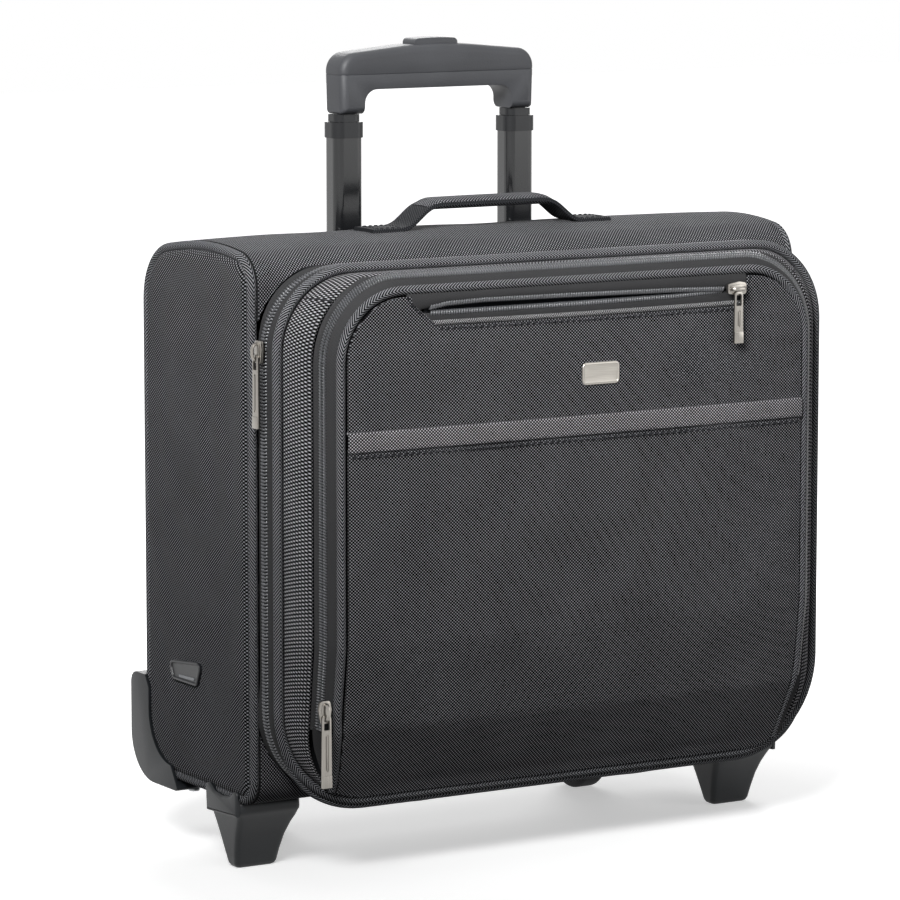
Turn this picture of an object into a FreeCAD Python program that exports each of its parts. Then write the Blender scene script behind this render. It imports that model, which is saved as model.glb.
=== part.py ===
import FreeCAD, Part
import math
import os

from FreeCAD import Vector

os.makedirs("parts", exist_ok=True)

# Rolling laptop case. Millimetres, +Z up, front towards -Y, origin on the ground under the middle.

# Overall sizes
BODY_WIDTH = 400.0
BODY_DEPTH = 142.0
BODY_HEIGHT = 346.0
LID_DEPTH = 58.0

# Sheet, cord and clearance sizes
CLEAR = 0.3
PANEL = 3.0
PIPING_RADIUS = 3.0
FLAP_PIPING_RADIUS = 2.5
FLAP_PIPING_SET = 2.0
TAPE = 1.6
CHAIN_RADIUS = 1.5
CHAIN_PROUD = 1.5
CHAIN_DEPTH = 3.0
BOARD = 2.5

PANEL_INSET = 1.5
TOP_SEAM = 40.0
LOW_SEAM = 47.0

# Outline of the side: how far the crown falls to the back and the front
CROWN_FROM_FRONT = 57.0
CROWN_RADIUS = 250.0
REAR_FALL = 11.5
REAR_TOP_RADIUS = 38.0
FRONT_FALL = 8.0
FRONT_TOP_RADIUS = 22.0
FRONT_LOW_RADIUS = 16.0

# Boards and sleeve
BASE_SIDE_GAP = 12.0
BASE_FRONT_GAP = 14.0
BASE_REAR_GAP = 38.0
BACK_BOARD_TRIM = 8.0
BACK_BOARD_TOP_GAP = 6.0
SLEEVE_SHEET = 5.0
SLEEVE_ROOM = 21.0
SLEEVE_TRIM = 10.0
SLEEVE_TOP_DROP = 75.0

# Zip slider and pull
SLIDER_WIDTH = 9.0
SLIDER_LENGTH = 14.0
SLIDER_BODY = 3.0
BAIL_WIDTH = 2.4
BAIL_LENGTH = 10.0
BAIL_HEIGHT = 7.0
BAIL_WALL = 1.5
PULL_WIDTH = 5.5
PULL_THICKNESS = 1.4
PULL_GAP = 0.4
PULL_LENGTH_MAIN = 44.0
PULL_LENGTH_POCKET = 32.0

# Wheel housings and feet
GUARD_WALL = 15.0
GUARD_HEIGHT = 62.0
GUARD_DROP = 6.0
GUARD_REACH = 48.0
GUARD_FLANGE = 2.2
GUARD_OVERLAP = 9.0
GUARD_INNER_X = 96.0
WHEEL_RADIUS = 24.0
WHEEL_WIDTH = 18.0
WHEEL_X = 121.0
WHEEL_INSET = 10.0
WHEEL_GAP = 2.5
WHEEL_TO_BAG = 4.0
REAR_CORNER = 40.0
HUB_RADIUS = 16.5
AXLE_RADIUS = 3.0
RUNNING_FIT = 0.08
CHEEK = 4.0
FOOT_FLANGE = 5.5
FOOT_INNER_X = 157.0
FOOT_REAR_Y = 58.0
FOOT_FRONT_Y = 6.0
SCREW_RADIUS = 1.8
SCREW_HEAD_RADIUS = 3.6
SCREW_HEAD = 1.8

# Handle
HANDLE_INSET = 18.5
LEG_X = 64.0
CHANNEL = (24.0, 21.0)
CHANNEL_WALL = 1.35
STAGES = ((20.5, 17.5), (16.5, 13.5), (12.9, 9.9))
STAGE_WALL = (1.2, 1.0, 1.2)
COLLAR_WALL = 1.0
OUTER_COLLAR = 10.0
MIDDLE_COLLAR = 4.5
OUTER_CAP = 2.0
MIDDLE_CAP = 1.5
PIN_RISE = 6.0
OUTER_OUT = 93.5
OUTER_TUBE = 277.0
MIDDLE_TUBE = 270.0
INNER_TUBE = 272.0
TRAY_HALF = 84.0
TRAY_WALL = 2.0
TRAY_FLOOR = 4.0
TRAY_DEPTH = 41.0
TRAY_ROOM = 1.5
TRAY_RIM = 1.2
BRACKET_HEIGHT = 18.0
BRACKET_RISE = 29.0
BRACKET_SIDE = 6.0
BRACKET_BACK = 1.5
GRIP_HALF = 72.5
GRIP_LEG = 17.5
GRIP_DEPTH = 24.0
GRIP_HEIGHT = 44.0
GRIP_BAR = 28.5
GRIP_SOCKET = 11.0
GRIP_SPLIT = 19.0
GRIP_CORNER = 12.0
GRIP_SHOULDER = 6.0
GRIP_CROWN = 0.8
GRIP_EDGE = 5.0
GRIP_INNER_CORNER = 9.0
CROSSBAR_DEPTH = 8.0
CROSSBAR_HEIGHT = 3.0
BUTTON_LIP = 3.0
BUTTON_LIP_DEPTH = 1.0
BUTTON_LIP_HEIGHT = 1.9
SPRING_RADIUS = 4.0
SPRING_WIRE = 1.2
BUTTON_HALF = 16.0
BUTTON_DEPTH = 15.0
BUTTON_TRAVEL = 5.0
BUTTON_PROUD = 3.5
ROD_RADIUS = 2.0
PIN_RADIUS = 2.0
PIN_LENGTH = 4.4

# Lid and organiser
RING_INSET_TOP = 11.0
RING_INSET_BOTTOM = 2.0
RING_TOP_RADIUS = 52.0
RING_BOTTOM_RADIUS = 62.0
RING_DEPTH = 28.0
ZIP_DEPTH = 15.0
HINGE_HALF = 138.0
HINGE_RISE = 14.0
HINGE_STRIP_TRIM = 4.0
HINGE_STRIP_REACH = 6.0
HINGE_STRIP_DROP = 0.4
FLAP_HALF = 168.0
FLAP_TOP_INSET = 27.0
FLAP_RADIUS = 42.0
FLAP_SPLIT = 53.0
FLAP_KNEE = 105.0
FLAP_RECESS = 7.0
SKIRT_RECESS = 19.0
SKIRT_RISE = 7.0
LID_PANEL_GAP = 1.0
FLAP_LOW_GAP = 5.0
KNEE_RADIUS = 150.0
ZIP_HALF_GAP = 0.4
GUSSET_RUN = 21.0
GUSSET_STEP = 8.0
BAND_DROP = 95.0
BAND_HEIGHT = 12.6
BAND_PROUD = 0.8

# Pocket, badge, label
POCKET_LEFT = -108.0
POCKET_RIGHT = 118.0
POCKET_SLIT = 6.0
POCKET_BELOW_TOP = 10.0
POCKET_DEPTH = 9.0
POCKET_CHAIN = 2.9
POCKET_SHEET = 1.5
POCKET_SIDE = 3.0
POCKET_OVER = 4.0
POCKET_DROP = 62.0
BADGE_X = 12.0
BADGE_SIZE = (27.0, 14.0)
BADGE_BELOW_TOP = 57.0
BADGE_THICKNESS = 1.2
BADGE_CORNER = 3.0
LABEL_THICKNESS = 1.3
LABEL_CORNER = 3.0

# Carry handle
CROWN_DROP = 2.1
CARRY_HALF = 62.0
CARRY_TAIL = 26.0
CARRY_WIDTH = 24.0
CARRY_RISE = 20.0
CARRY_THICKNESS = 7.0
CARRY_PAD = 3.0

# Places worked out from the sizes above
FRONT_STAND = CHAIN_PROUD + BAIL_HEIGHT
BACK = (BODY_DEPTH + LID_DEPTH + FRONT_STAND - GUARD_WALL) / 2
FRONT = BACK - BODY_DEPTH
AXLE_DROP = math.sqrt((WHEEL_RADIUS + REAR_CORNER + WHEEL_TO_BAG) ** 2 - (REAR_CORNER - WHEEL_INSET) ** 2)
BOTTOM = WHEEL_RADIUS + AXLE_DROP - REAR_CORNER
TOP = BOTTOM + BODY_HEIGHT
SIDE = BODY_WIDTH / 2
RING_Y = FRONT - RING_DEPTH
ZIP_Y = FRONT - ZIP_DEPTH
FLAP_FRONT = FRONT - LID_DEPTH
RING_BOTTOM = BOTTOM + RING_INSET_BOTTOM
RING_TOP = TOP - RING_INSET_TOP
FLAP_TOP = TOP - FLAP_TOP_INSET
FLAP_BOTTOM = BOTTOM + FLAP_SPLIT
HANDLE_Y = BACK - HANDLE_INSET
TRAY_Z = TOP - TRAY_DEPTH
COLLAR_BASE = TRAY_Z + OUTER_OUT
COLLAR_TOP = COLLAR_BASE + OUTER_COLLAR
MIDDLE_TOP = COLLAR_TOP + CLEAR + MIDDLE_COLLAR
GRIP_Z = MIDDLE_TOP + CLEAR
WHEEL_Y = BACK - WHEEL_INSET


def rounded_wire(corners, closed=True):
    """A wire through (point, radius) corners, each corner turned by a tangent arc."""
    count = len(corners)
    legs = []
    for index, (point, radius) in enumerate(corners):
        is_end = not closed and index in (0, count - 1)
        if is_end or radius <= 0:
            legs.append((point, point, None))
            continue
        before = (corners[index - 1][0] - point).normalize()
        after = (corners[(index + 1) % count][0] - point).normalize()
        half = before.getAngle(after) / 2
        middle = (before + after).normalize()
        reach = radius / math.tan(half)
        start = point + before * reach
        end = point + after * reach
        legs.append((start, end, point + middle * (radius / math.sin(half) - radius)))
    edges = []
    last = count if closed else count - 1
    for index in range(count):
        start, end, middle = legs[index]
        if middle is not None:
            edges.append(Part.Arc(start, middle, end).toShape())
        following = legs[(index + 1) % count][0]
        if index < last and (following - end).Length > 1e-6:
            edges.append(Part.LineSegment(end, following).toShape())
    return Part.Wire(edges)


def inset(outline, distance):
    """A convex outline of (u, v, radius) corners moved inwards by a distance."""
    count = len(outline)
    lines = []
    for index in range(count):
        u0, v0, _ = outline[index]
        u1, v1, _ = outline[(index + 1) % count]
        length = math.hypot(u1 - u0, v1 - v0)
        du, dv = (u1 - u0) / length, (v1 - v0) / length
        lines.append((u0 - dv * distance, v0 + du * distance, du, dv))
    result = []
    for index in range(count):
        u0, v0, du0, dv0 = lines[index - 1]
        u1, v1, du1, dv1 = lines[index]
        cross = du0 * dv1 - dv0 * du1
        along = ((u1 - u0) * dv1 - (v1 - v0) * du1) / cross
        radius = max(outline[index][2] - distance, 0.5)
        result.append((u0 + du0 * along, v0 + dv0 * along, radius))
    return result


def side_wire(outline, x):
    return rounded_wire([(Vector(x, y, z), radius) for y, z, radius in outline])


def front_wire(outline, y):
    return rounded_wire([(Vector(x, y, z), radius) for x, z, radius in outline])


def side_slab(outline, x0, x1):
    return Part.Face(side_wire(outline, x0)).extrude(Vector(x1 - x0, 0, 0))


def front_slab(outline, y0, y1):
    return Part.Face(front_wire(outline, y0)).extrude(Vector(0, y1 - y0, 0))


def block(x0, x1, y0, y1, z0, z1):
    return Part.makeBox(x1 - x0, y1 - y0, z1 - z0, Vector(x0, y0, z0))


def rectangle(u0, u1, v0, v1, radius):
    return [(u0, v0, radius), (u1, v0, radius), (u1, v1, radius), (u0, v1, radius)]


def tube(corners, radius, closed):
    """A round cord along a route of (point, radius) corners."""
    path = rounded_wire(corners, closed)
    first = path.OrderedEdges[0]
    start = first.valueAt(first.FirstParameter)
    tangent = first.tangentAt(first.FirstParameter)
    circle = Part.Wire(Part.makeCircle(radius, start, tangent))
    return path.makePipeShell([circle], True, False)


def mirrored(shape):
    return shape.mirror(Vector(0, 0, 0), Vector(1, 0, 0))


def both(shape):
    return [shape, mirrored(shape)]


def cylinder(radius, length, start, direction):
    return Part.makeCylinder(radius, length, start, direction)


def save(name, shapes):
    solids = []
    for shape in shapes:
        clean = shape.removeSplitter()
        solids.extend(clean.Solids)
    for solid in solids:
        if not solid.isValid() or solid.Volume <= 0:
            raise ValueError(name + " is not a valid solid")
    result = solids[0] if len(solids) == 1 else Part.makeCompound(solids)
    result.exportStep("parts/" + name + ".step")


# Outlines: the side of the body (y, z, radius), the lid's rim and the flap (x, z, radius)
SIDE_OUTLINE = [
    (FRONT, BOTTOM, FRONT_LOW_RADIUS),
    (BACK, BOTTOM, REAR_CORNER),
    (BACK, TOP - REAR_FALL, REAR_TOP_RADIUS),
    (FRONT + CROWN_FROM_FRONT, TOP, CROWN_RADIUS),
    (FRONT, TOP - FRONT_FALL, FRONT_TOP_RADIUS),
]
RING_OUTLINE = [
    (-SIDE, RING_BOTTOM, RING_BOTTOM_RADIUS),
    (SIDE, RING_BOTTOM, RING_BOTTOM_RADIUS),
    (SIDE, RING_TOP, RING_TOP_RADIUS),
    (-SIDE, RING_TOP, RING_TOP_RADIUS),
]
FLAP_OUTLINE = [
    (-FLAP_HALF, RING_BOTTOM + FLAP_LOW_GAP, FLAP_RADIUS),
    (FLAP_HALF, RING_BOTTOM + FLAP_LOW_GAP, FLAP_RADIUS),
    (FLAP_HALF, FLAP_TOP, FLAP_RADIUS),
    (-FLAP_HALF, FLAP_TOP, FLAP_RADIUS),
]
KNEE_Z = BOTTOM + FLAP_KNEE
EDGE = PIPING_RADIUS * 2 + CLEAR


def tube_profile(size, x, y, z, grow=0.0):
    """The rounded section of a handle tube, as a wire at height z."""
    half_w = size[0] / 2 + grow
    half_d = size[1] / 2 + grow
    corner = size[1] * 0.3 + grow
    points = [(-half_w, -half_d), (half_w, -half_d), (half_w, half_d), (-half_w, half_d)]
    return rounded_wire([(Vector(x + u, y + v, z), corner) for u, v in points])


def tube_block(size, x, z0, z1, grow=0.0):
    face = Part.Face(tube_profile(size, x, HANDLE_Y, z0, grow))
    return face.extrude(Vector(0, 0, z1 - z0))


def screw_places():
    """Where screws go up through the feet and the housings into the base board."""
    places = []
    for sign in (-1, 1):
        for x in (FOOT_INNER_X + 7.0, SIDE - 12.0):
            places.append((sign * x, FRONT + 17.5))
            places.append((sign * x, BACK - GUARD_REACH + 5.5))
    return places


def screw_holes(z0, z1):
    radius = SCREW_RADIUS + CLEAR
    return [cylinder(radius, z1 - z0, Vector(x, y, z0), Vector(0, 0, 1)) for x, y in screw_places()]


def body_panels():
    """Fabric over foam that wraps round the top, the back and the bottom, with two side panels."""
    reach = SIDE - EDGE
    outer = side_slab(SIDE_OUTLINE, -reach, reach)
    wrap = outer.cut(side_slab(inset(SIDE_OUTLINE, PANEL), -reach - 1, reach + 1))
    mouth = front_slab(inset(RING_OUTLINE, PIPING_RADIUS - CLEAR), FRONT - 10, FRONT + PANEL + CLEAR)
    tray_gap = block(
        -TRAY_HALF - CLEAR, TRAY_HALF + CLEAR,
        HANDLE_Y - GRIP_DEPTH / 2 - TRAY_ROOM - TRAY_WALL - CLEAR, BACK - PANEL,
        TRAY_Z - TRAY_FLOOR, TOP + 10,
    )
    wrap = wrap.cut(mouth).cut(tray_gap)
    middle = (BOTTOM + TOP) / 2
    top_seam = BACK - TOP_SEAM
    low_seam = BOTTOM + LOW_SEAM
    top = wrap.common(block(-SIDE, SIDE, FRONT - 1, top_seam, middle, TOP + 10))
    back = wrap.common(block(-SIDE, SIDE, top_seam, BACK + 1, low_seam, TOP + 10))
    bottom = wrap.common(block(-SIDE, SIDE, FRONT - 1, BACK + 1, BOTTOM - 1, low_seam))
    for hole in screw_holes(BOTTOM - 1, BOTTOM + PANEL + 1):
        bottom = bottom.cut(hole)
    save("top_panel", [top])
    save("back_panel", [back])
    save("bottom_panel", [bottom])
    panel = side_slab(inset(SIDE_OUTLINE, EDGE), SIDE - PANEL_INSET - PANEL, SIDE - PANEL_INSET)
    save("side_panel_right", [panel])
    save("side_panel_left", [mirrored(panel)])
    centre = inset(SIDE_OUTLINE, PIPING_RADIUS)
    route = [(Vector(SIDE - PIPING_RADIUS, y, z), radius) for y, z, radius in centre]
    save("side_piping", both(tube(route, PIPING_RADIUS, True)))


def boards():
    """Stiff sheets inside the lining, and the padded sleeve."""
    half = SIDE - BASE_SIDE_GAP
    base_z = BOTTOM + PANEL + CLEAR
    base = block(-half, half, FRONT + BASE_FRONT_GAP, BACK - BASE_REAR_GAP, base_z, base_z + BOARD)
    for hole in screw_holes(base_z - 1, base_z + BOARD + 1):
        base = base.cut(hole)
    save("base_board", [base])
    board_y = HANDLE_Y - CHANNEL[1] / 2 - CLEAR - BOARD
    board_z = base_z + BOARD + CLEAR
    board_top = TRAY_Z - TRAY_FLOOR - BACK_BOARD_TOP_GAP
    wide = half - BACK_BOARD_TRIM
    save("back_board", [block(-wide, wide, board_y, board_y + BOARD, board_z, board_top)])
    sleeve_y = board_y - SLEEVE_ROOM - SLEEVE_SHEET
    inner_y = sleeve_y + SLEEVE_SHEET
    wide = half - SLEEVE_TRIM
    front_sheet = block(-wide, wide, sleeve_y, inner_y, board_z, TOP - SLEEVE_TOP_DROP)
    foot_sheet = block(-wide, wide, inner_y, board_y - CLEAR, board_z, board_z + SLEEVE_SHEET)
    save("laptop_sleeve", [front_sheet.fuse(foot_sheet)])


def main_zip():
    """The two halves of the main zip: flat tape with the row of teeth standing on it."""
    tape = inset(RING_OUTLINE, PIPING_RADIUS)
    tape_inner = inset(RING_OUTLINE, PIPING_RADIUS + TAPE)
    teeth = inset(RING_OUTLINE, PIPING_RADIUS - CHAIN_PROUD)
    unzipped = block(-HINGE_HALF, HINGE_HALF, RING_Y - 20, BACK, 0, RING_BOTTOM + HINGE_RISE)

    def half(y_edge, y_far, sign):
        band = front_slab(tape, y_edge, y_far)
        ridge = front_slab(teeth, y_edge, y_edge + sign * CHAIN_DEPTH)
        whole = band.fuse(ridge)
        low, high = sorted((y_edge, y_far))
        return whole.cut(front_slab(tape_inner, low - 1, high + 1)).cut(unzipped)

    save("main_zip_body_half", [half(ZIP_Y + CLEAR, FRONT - CLEAR, 1)])
    save("main_zip_lid_half", [half(ZIP_Y - CLEAR, RING_Y + PIPING_RADIUS + CLEAR, -1)])
    strip_half = HINGE_HALF - HINGE_STRIP_TRIM
    strip_z = RING_BOTTOM - HINGE_STRIP_DROP
    strip = block(
        -strip_half, strip_half, ZIP_Y + CLEAR, FRONT + HINGE_STRIP_REACH, strip_z, strip_z + TAPE,
    )
    save("hinge_strip", [strip])


def lid():
    """The lid that carries the organiser: rim piping, inner panel, sloping gusset and skirt."""
    centre = inset(RING_OUTLINE, PIPING_RADIUS)
    route = [(Vector(x, RING_Y, z), radius) for x, z, radius in centre]
    save("lid_rim_piping", [tube(route, PIPING_RADIUS, True)])
    inner = inset(RING_OUTLINE, PIPING_RADIUS + TAPE + CLEAR)
    panel_y = RING_Y + PIPING_RADIUS + LID_PANEL_GAP
    save("lid_inner_panel", [front_slab(inner, panel_y, panel_y + BOARD)])
    wide = inset(RING_OUTLINE, EDGE)
    low_z = RING_BOTTOM + EDGE
    narrow = [(x, max(z, low_z), radius) for x, z, radius in inset(FLAP_OUTLINE, -GUSSET_STEP)]
    back_y = RING_Y
    front_y = RING_Y - GUSSET_RUN

    def frustum(shrink):
        wires = [front_wire(inset(wide, shrink), back_y), front_wire(inset(narrow, shrink), front_y)]
        return Part.makeLoft(wires, True, True)

    keep = side_slab(
        [
            (back_y, BOTTOM - 10, 0),
            (back_y - PIPING_RADIUS - LID_PANEL_GAP, RING_BOTTOM, 0),
            (front_y + FLAP_RECESS, FLAP_BOTTOM, 0),
            (front_y, KNEE_Z, 0),
            (front_y, TOP, 0),
            (back_y, TOP, 0),
        ],
        -SIDE, SIDE,
    )
    hollow = frustum(BOARD)
    save("lid_gusset", [frustum(0).cut(hollow).common(keep)])
    skirt_low = FLAP_FRONT + FLAP_RECESS + SKIRT_RECESS
    skirt_top = FLAP_BOTTOM - CLEAR
    skirt = side_slab(
        [
            (skirt_low, RING_BOTTOM + SKIRT_RISE, 0),
            (FLAP_FRONT + FLAP_RECESS, skirt_top, 0),
            (FLAP_FRONT + FLAP_RECESS + PANEL, skirt_top, 0),
            (skirt_low + PANEL, RING_BOTTOM + SKIRT_RISE, 0),
        ],
        -SIDE, SIDE,
    )
    fit = front_slab(inset(narrow, BOARD + CLEAR), FLAP_FRONT - 5, back_y)
    save("lid_skirt_panel", [skirt.common(fit)])


def flap_route(grow, y, recess=FLAP_RECESS):
    """An upside-down U route round the flap, leaning back below the knee."""
    half = FLAP_HALF + grow
    top = FLAP_TOP + grow
    radius = FLAP_RADIUS + grow
    low = FLAP_BOTTOM + 2 * CLEAR
    return [
        (Vector(-half, y + recess, low), 0),
        (Vector(-half, y, KNEE_Z), KNEE_RADIUS),
        (Vector(-half, y, top), radius),
        (Vector(half, y, top), radius),
        (Vector(half, y, KNEE_Z), KNEE_RADIUS),
        (Vector(half, y + recess, low), 0),
    ]


def organiser():
    """The flap of the front organiser, its piping, its zip and the accent band."""
    rest = FLAP_PIPING_RADIUS + CLEAR
    sheet = side_slab(
        [
            (FLAP_FRONT + FLAP_RECESS, FLAP_BOTTOM + CLEAR, 0),
            (FLAP_FRONT + FLAP_RECESS + PANEL, FLAP_BOTTOM + CLEAR, 0),
            (FLAP_FRONT + PANEL, KNEE_Z, 0),
            (FLAP_FRONT + PANEL, TOP, 0),
            (FLAP_FRONT, TOP, 0),
            (FLAP_FRONT, KNEE_Z, 0),
        ],
        -SIDE, SIDE,
    )
    face = front_slab(inset(FLAP_OUTLINE, rest), FLAP_FRONT - 5, FLAP_FRONT + 20)
    panel = sheet.common(face)
    band_z = FLAP_TOP - BAND_DROP
    band_top = band_z + BAND_HEIGHT
    slit_top = FLAP_TOP - POCKET_BELOW_TOP + POCKET_SLIT / 2
    slit = block(
        POCKET_LEFT, POCKET_RIGHT, FLAP_FRONT - 5, FLAP_FRONT + 20, slit_top - POCKET_SLIT, slit_top,
    )
    chain_room = POCKET_CHAIN + CLEAR
    upper = panel.common(block(-SIDE, SIDE, -400, 400, band_top + CLEAR, TOP))
    wide_slit = block(
        POCKET_LEFT, POCKET_RIGHT, FLAP_FRONT - 5, FLAP_FRONT + 20,
        slit_top - POCKET_SLIT - chain_room, slit_top + chain_room,
    )
    save("flap_upper_panel", [upper.cut(wide_slit)])
    save("flap_lower_panel", [panel.common(block(-SIDE, SIDE, -400, 400, 0, band_z - CLEAR))])
    band = block(
        -FLAP_HALF + rest, FLAP_HALF - rest, FLAP_FRONT - BAND_PROUD, FLAP_FRONT + PANEL, band_z, band_top,
    )
    save("accent_band", [band])
    chains = []
    for z0 in (slit_top - POCKET_SLIT - chain_room + CLEAR, slit_top):
        chains.append(block(
            POCKET_LEFT + CLEAR, POCKET_RIGHT - CLEAR, FLAP_FRONT - CHAIN_PROUD, FLAP_FRONT + CHAIN_PROUD,
            z0, z0 + POCKET_CHAIN,
        ))
    save("pocket_zip", chains)
    piping_y = FLAP_FRONT + FLAP_PIPING_SET
    save("flap_piping", [tube(flap_route(0, piping_y), FLAP_PIPING_RADIUS, False)])
    chain_out = GUSSET_STEP - BOARD - CLEAR - CHAIN_RADIUS
    chain_y = RING_Y - GUSSET_RUN - 0.5
    route = flap_route(chain_out, chain_y - 2 * CHAIN_RADIUS - ZIP_HALF_GAP)
    save("organiser_zip_flap_half", [tube(route, CHAIN_RADIUS, False)])
    save("organiser_zip_lid_half", [tube(flap_route(chain_out, chain_y), CHAIN_RADIUS, False)])
    pocket_y = FLAP_FRONT + PANEL + CLEAR
    low = slit_top - POCKET_DROP
    high = slit_top + POCKET_OVER
    left = POCKET_LEFT - POCKET_SIDE
    right = POCKET_RIGHT + POCKET_SIDE
    outer = block(left, right, pocket_y, pocket_y + POCKET_DEPTH, low, high)
    room = block(
        left + POCKET_SHEET, right - POCKET_SHEET, pocket_y - 1, pocket_y + POCKET_DEPTH - POCKET_SHEET,
        low + POCKET_SHEET, high - POCKET_SHEET,
    )
    save("pocket_bag", [outer.cut(room)])
    badge_z = FLAP_TOP - BADGE_BELOW_TOP
    badge = front_slab(
        rectangle(
            BADGE_X - BADGE_SIZE[0] / 2, BADGE_X + BADGE_SIZE[0] / 2,
            badge_z - BADGE_SIZE[1] / 2, badge_z + BADGE_SIZE[1] / 2, BADGE_CORNER,
        ),
        FLAP_FRONT - BADGE_THICKNESS, FLAP_FRONT,
    )
    save("badge_plate", [badge])
    return slit_top - POCKET_SLIT / 2


def slider_shape():
    """A zip slider at the origin: runs along Z, its outside faces -Y, with a bail for the pull."""
    outline = [
        (-SLIDER_WIDTH / 2 + 1.5, -SLIDER_LENGTH / 2, 1.0),
        (SLIDER_WIDTH / 2 - 1.5, -SLIDER_LENGTH / 2, 1.0),
        (SLIDER_WIDTH / 2, 2.0, 2.0),
        (SLIDER_WIDTH / 2 - 1.0, SLIDER_LENGTH / 2, 2.0),
        (-SLIDER_WIDTH / 2 + 1.0, SLIDER_LENGTH / 2, 2.0),
        (-SLIDER_WIDTH / 2, 2.0, 2.0),
    ]
    body = front_slab(outline, -CLEAR - SLIDER_BODY, -CLEAR)
    half = BAIL_WIDTH / 2
    bail = block(-half, half, -BAIL_HEIGHT, -SLIDER_BODY, -BAIL_LENGTH / 2, BAIL_LENGTH / 2)
    inner = BAIL_LENGTH / 2 - BAIL_WALL
    window = block(-half - 1, half + 1, -BAIL_HEIGHT + BAIL_WALL, -SLIDER_BODY - CLEAR, -inner, inner)
    return body.fuse(bail.cut(window))


PULL_AXIS = (-(SLIDER_BODY + CLEAR + BAIL_HEIGHT - BAIL_WALL) / 2, -2.3)


def pull_shape(length):
    """A pull that hangs from the bail: a bar through it, two arms and a slotted tab."""
    axis_y, axis_z = PULL_AXIS
    half = PULL_WIDTH / 2
    arm_inner = BAIL_WIDTH / 2 + PULL_GAP
    bar = cylinder(PULL_THICKNESS / 2, PULL_WIDTH, Vector(-half, axis_y, axis_z), Vector(1, 0, 0))
    y0 = axis_y - PULL_THICKNESS / 2
    y1 = axis_y + PULL_THICKNESS / 2
    tab = block(-half, half, y0, y1, axis_z - length, axis_z)
    window = block(-arm_inner, arm_inner, y0 - 1, y1 + 1, axis_z - 9.0, axis_z + 1)
    slot = block(-0.9, 0.9, y0 - 1, y1 + 1, axis_z - length + 5.0, axis_z - 13.0)
    return bar.fuse(tab.cut(window).cut(slot))


def zip_pieces(pocket_z):
    """Sliders and pulls, each placed on its chain."""
    turn = Vector(0, 0, 1)
    origin = Vector(0, 0, 0)
    main_z = RING_TOP - RING_TOP_RADIUS
    side_x = SIDE - PIPING_RADIUS + CHAIN_PROUD
    slider_x = FLAP_HALF + GUSSET_STEP - BOARD + SLIDER_WIDTH / 2
    slider_y = RING_Y - GUSSET_RUN
    low_z = FLAP_BOTTOM + 14.0
    spots = {
        "main_left": (-90, Vector(-side_x, ZIP_Y, main_z), PULL_LENGTH_MAIN),
        "main_right": (90, Vector(side_x, ZIP_Y, main_z), PULL_LENGTH_MAIN),
        "organiser": (0, Vector(-slider_x, slider_y, low_z), PULL_LENGTH_MAIN),
        "pocket": (0, Vector(POCKET_RIGHT - 6.0, FLAP_FRONT - CHAIN_PROUD, pocket_z), PULL_LENGTH_POCKET),
    }
    for name, (angle, place, length) in spots.items():
        for kind, shape in (("slider", slider_shape()), ("pull", pull_shape(length))):
            shape.rotate(origin, turn, angle)
            shape.translate(place)
            save(name + "_" + kind, [shape])


def handle_fixed():
    """The parts of the telescopic handle that stay in the body."""
    bottom_z = BOTTOM + BRACKET_RISE
    channel_z = bottom_z + PANEL
    channels = []
    for x in (-LEG_X, LEG_X):
        outer = tube_block(CHANNEL, x, channel_z, TRAY_Z)
        channels.append(outer.cut(tube_block(CHANNEL, x, channel_z - 1, TRAY_Z + 1, -CHANNEL_WALL)))
    save("handle_channels", channels)
    half = LEG_X + CHANNEL[0] / 2 + BRACKET_SIDE
    bracket = block(
        -half, half, HANDLE_Y - CHANNEL[1] / 2, HANDLE_Y + CHANNEL[1] / 2 + BRACKET_BACK,
        bottom_z, bottom_z + BRACKET_HEIGHT,
    )
    for x in (-LEG_X, LEG_X):
        bracket = bracket.cut(tube_block(CHANNEL, x, channel_z - CLEAR, TRAY_Z, CLEAR))
    save("handle_foot_bracket", [bracket])
    front = HANDLE_Y - GRIP_DEPTH / 2 - TRAY_ROOM
    back = HANDLE_Y + GRIP_DEPTH / 2 + TRAY_ROOM
    hull = side_slab(inset(SIDE_OUTLINE, -TRAY_RIM), -TRAY_HALF, TRAY_HALF)
    tray = block(
        -TRAY_HALF, TRAY_HALF, front - TRAY_WALL, BACK - PANEL - CLEAR, TRAY_Z - TRAY_FLOOR + CLEAR, TOP + 20,
    )
    room = block(-TRAY_HALF + TRAY_WALL, TRAY_HALF - TRAY_WALL, front, back, TRAY_Z, TOP + 30)
    tray = tray.common(hull).cut(room)
    for x in (-LEG_X, LEG_X):
        tray = tray.cut(tube_block(CHANNEL, x, TRAY_Z - 30, TRAY_Z + 1, CLEAR))
    save("handle_tray", [tray])


def collar(size, inner, z0, z1, tube_top):
    shapes = []
    for x in (-LEG_X, LEG_X):
        ring = tube_block(size, x, z0, z1, COLLAR_WALL)
        ring = ring.cut(tube_block(size, x, z0 - 1, tube_top, 0.05))
        shapes.append(ring.cut(tube_block(inner, x, z0 - 1, z1 + 1, 0.2)))
    return shapes


def hollow_tubes(size, wall, z0, z1):
    shapes = []
    for x in (-LEG_X, LEG_X):
        outer = tube_block(size, x, z0, z1)
        shapes.append(outer.cut(tube_block(size, x, z0 - 1, z1 + 1, -wall)))
    return shapes


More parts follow.
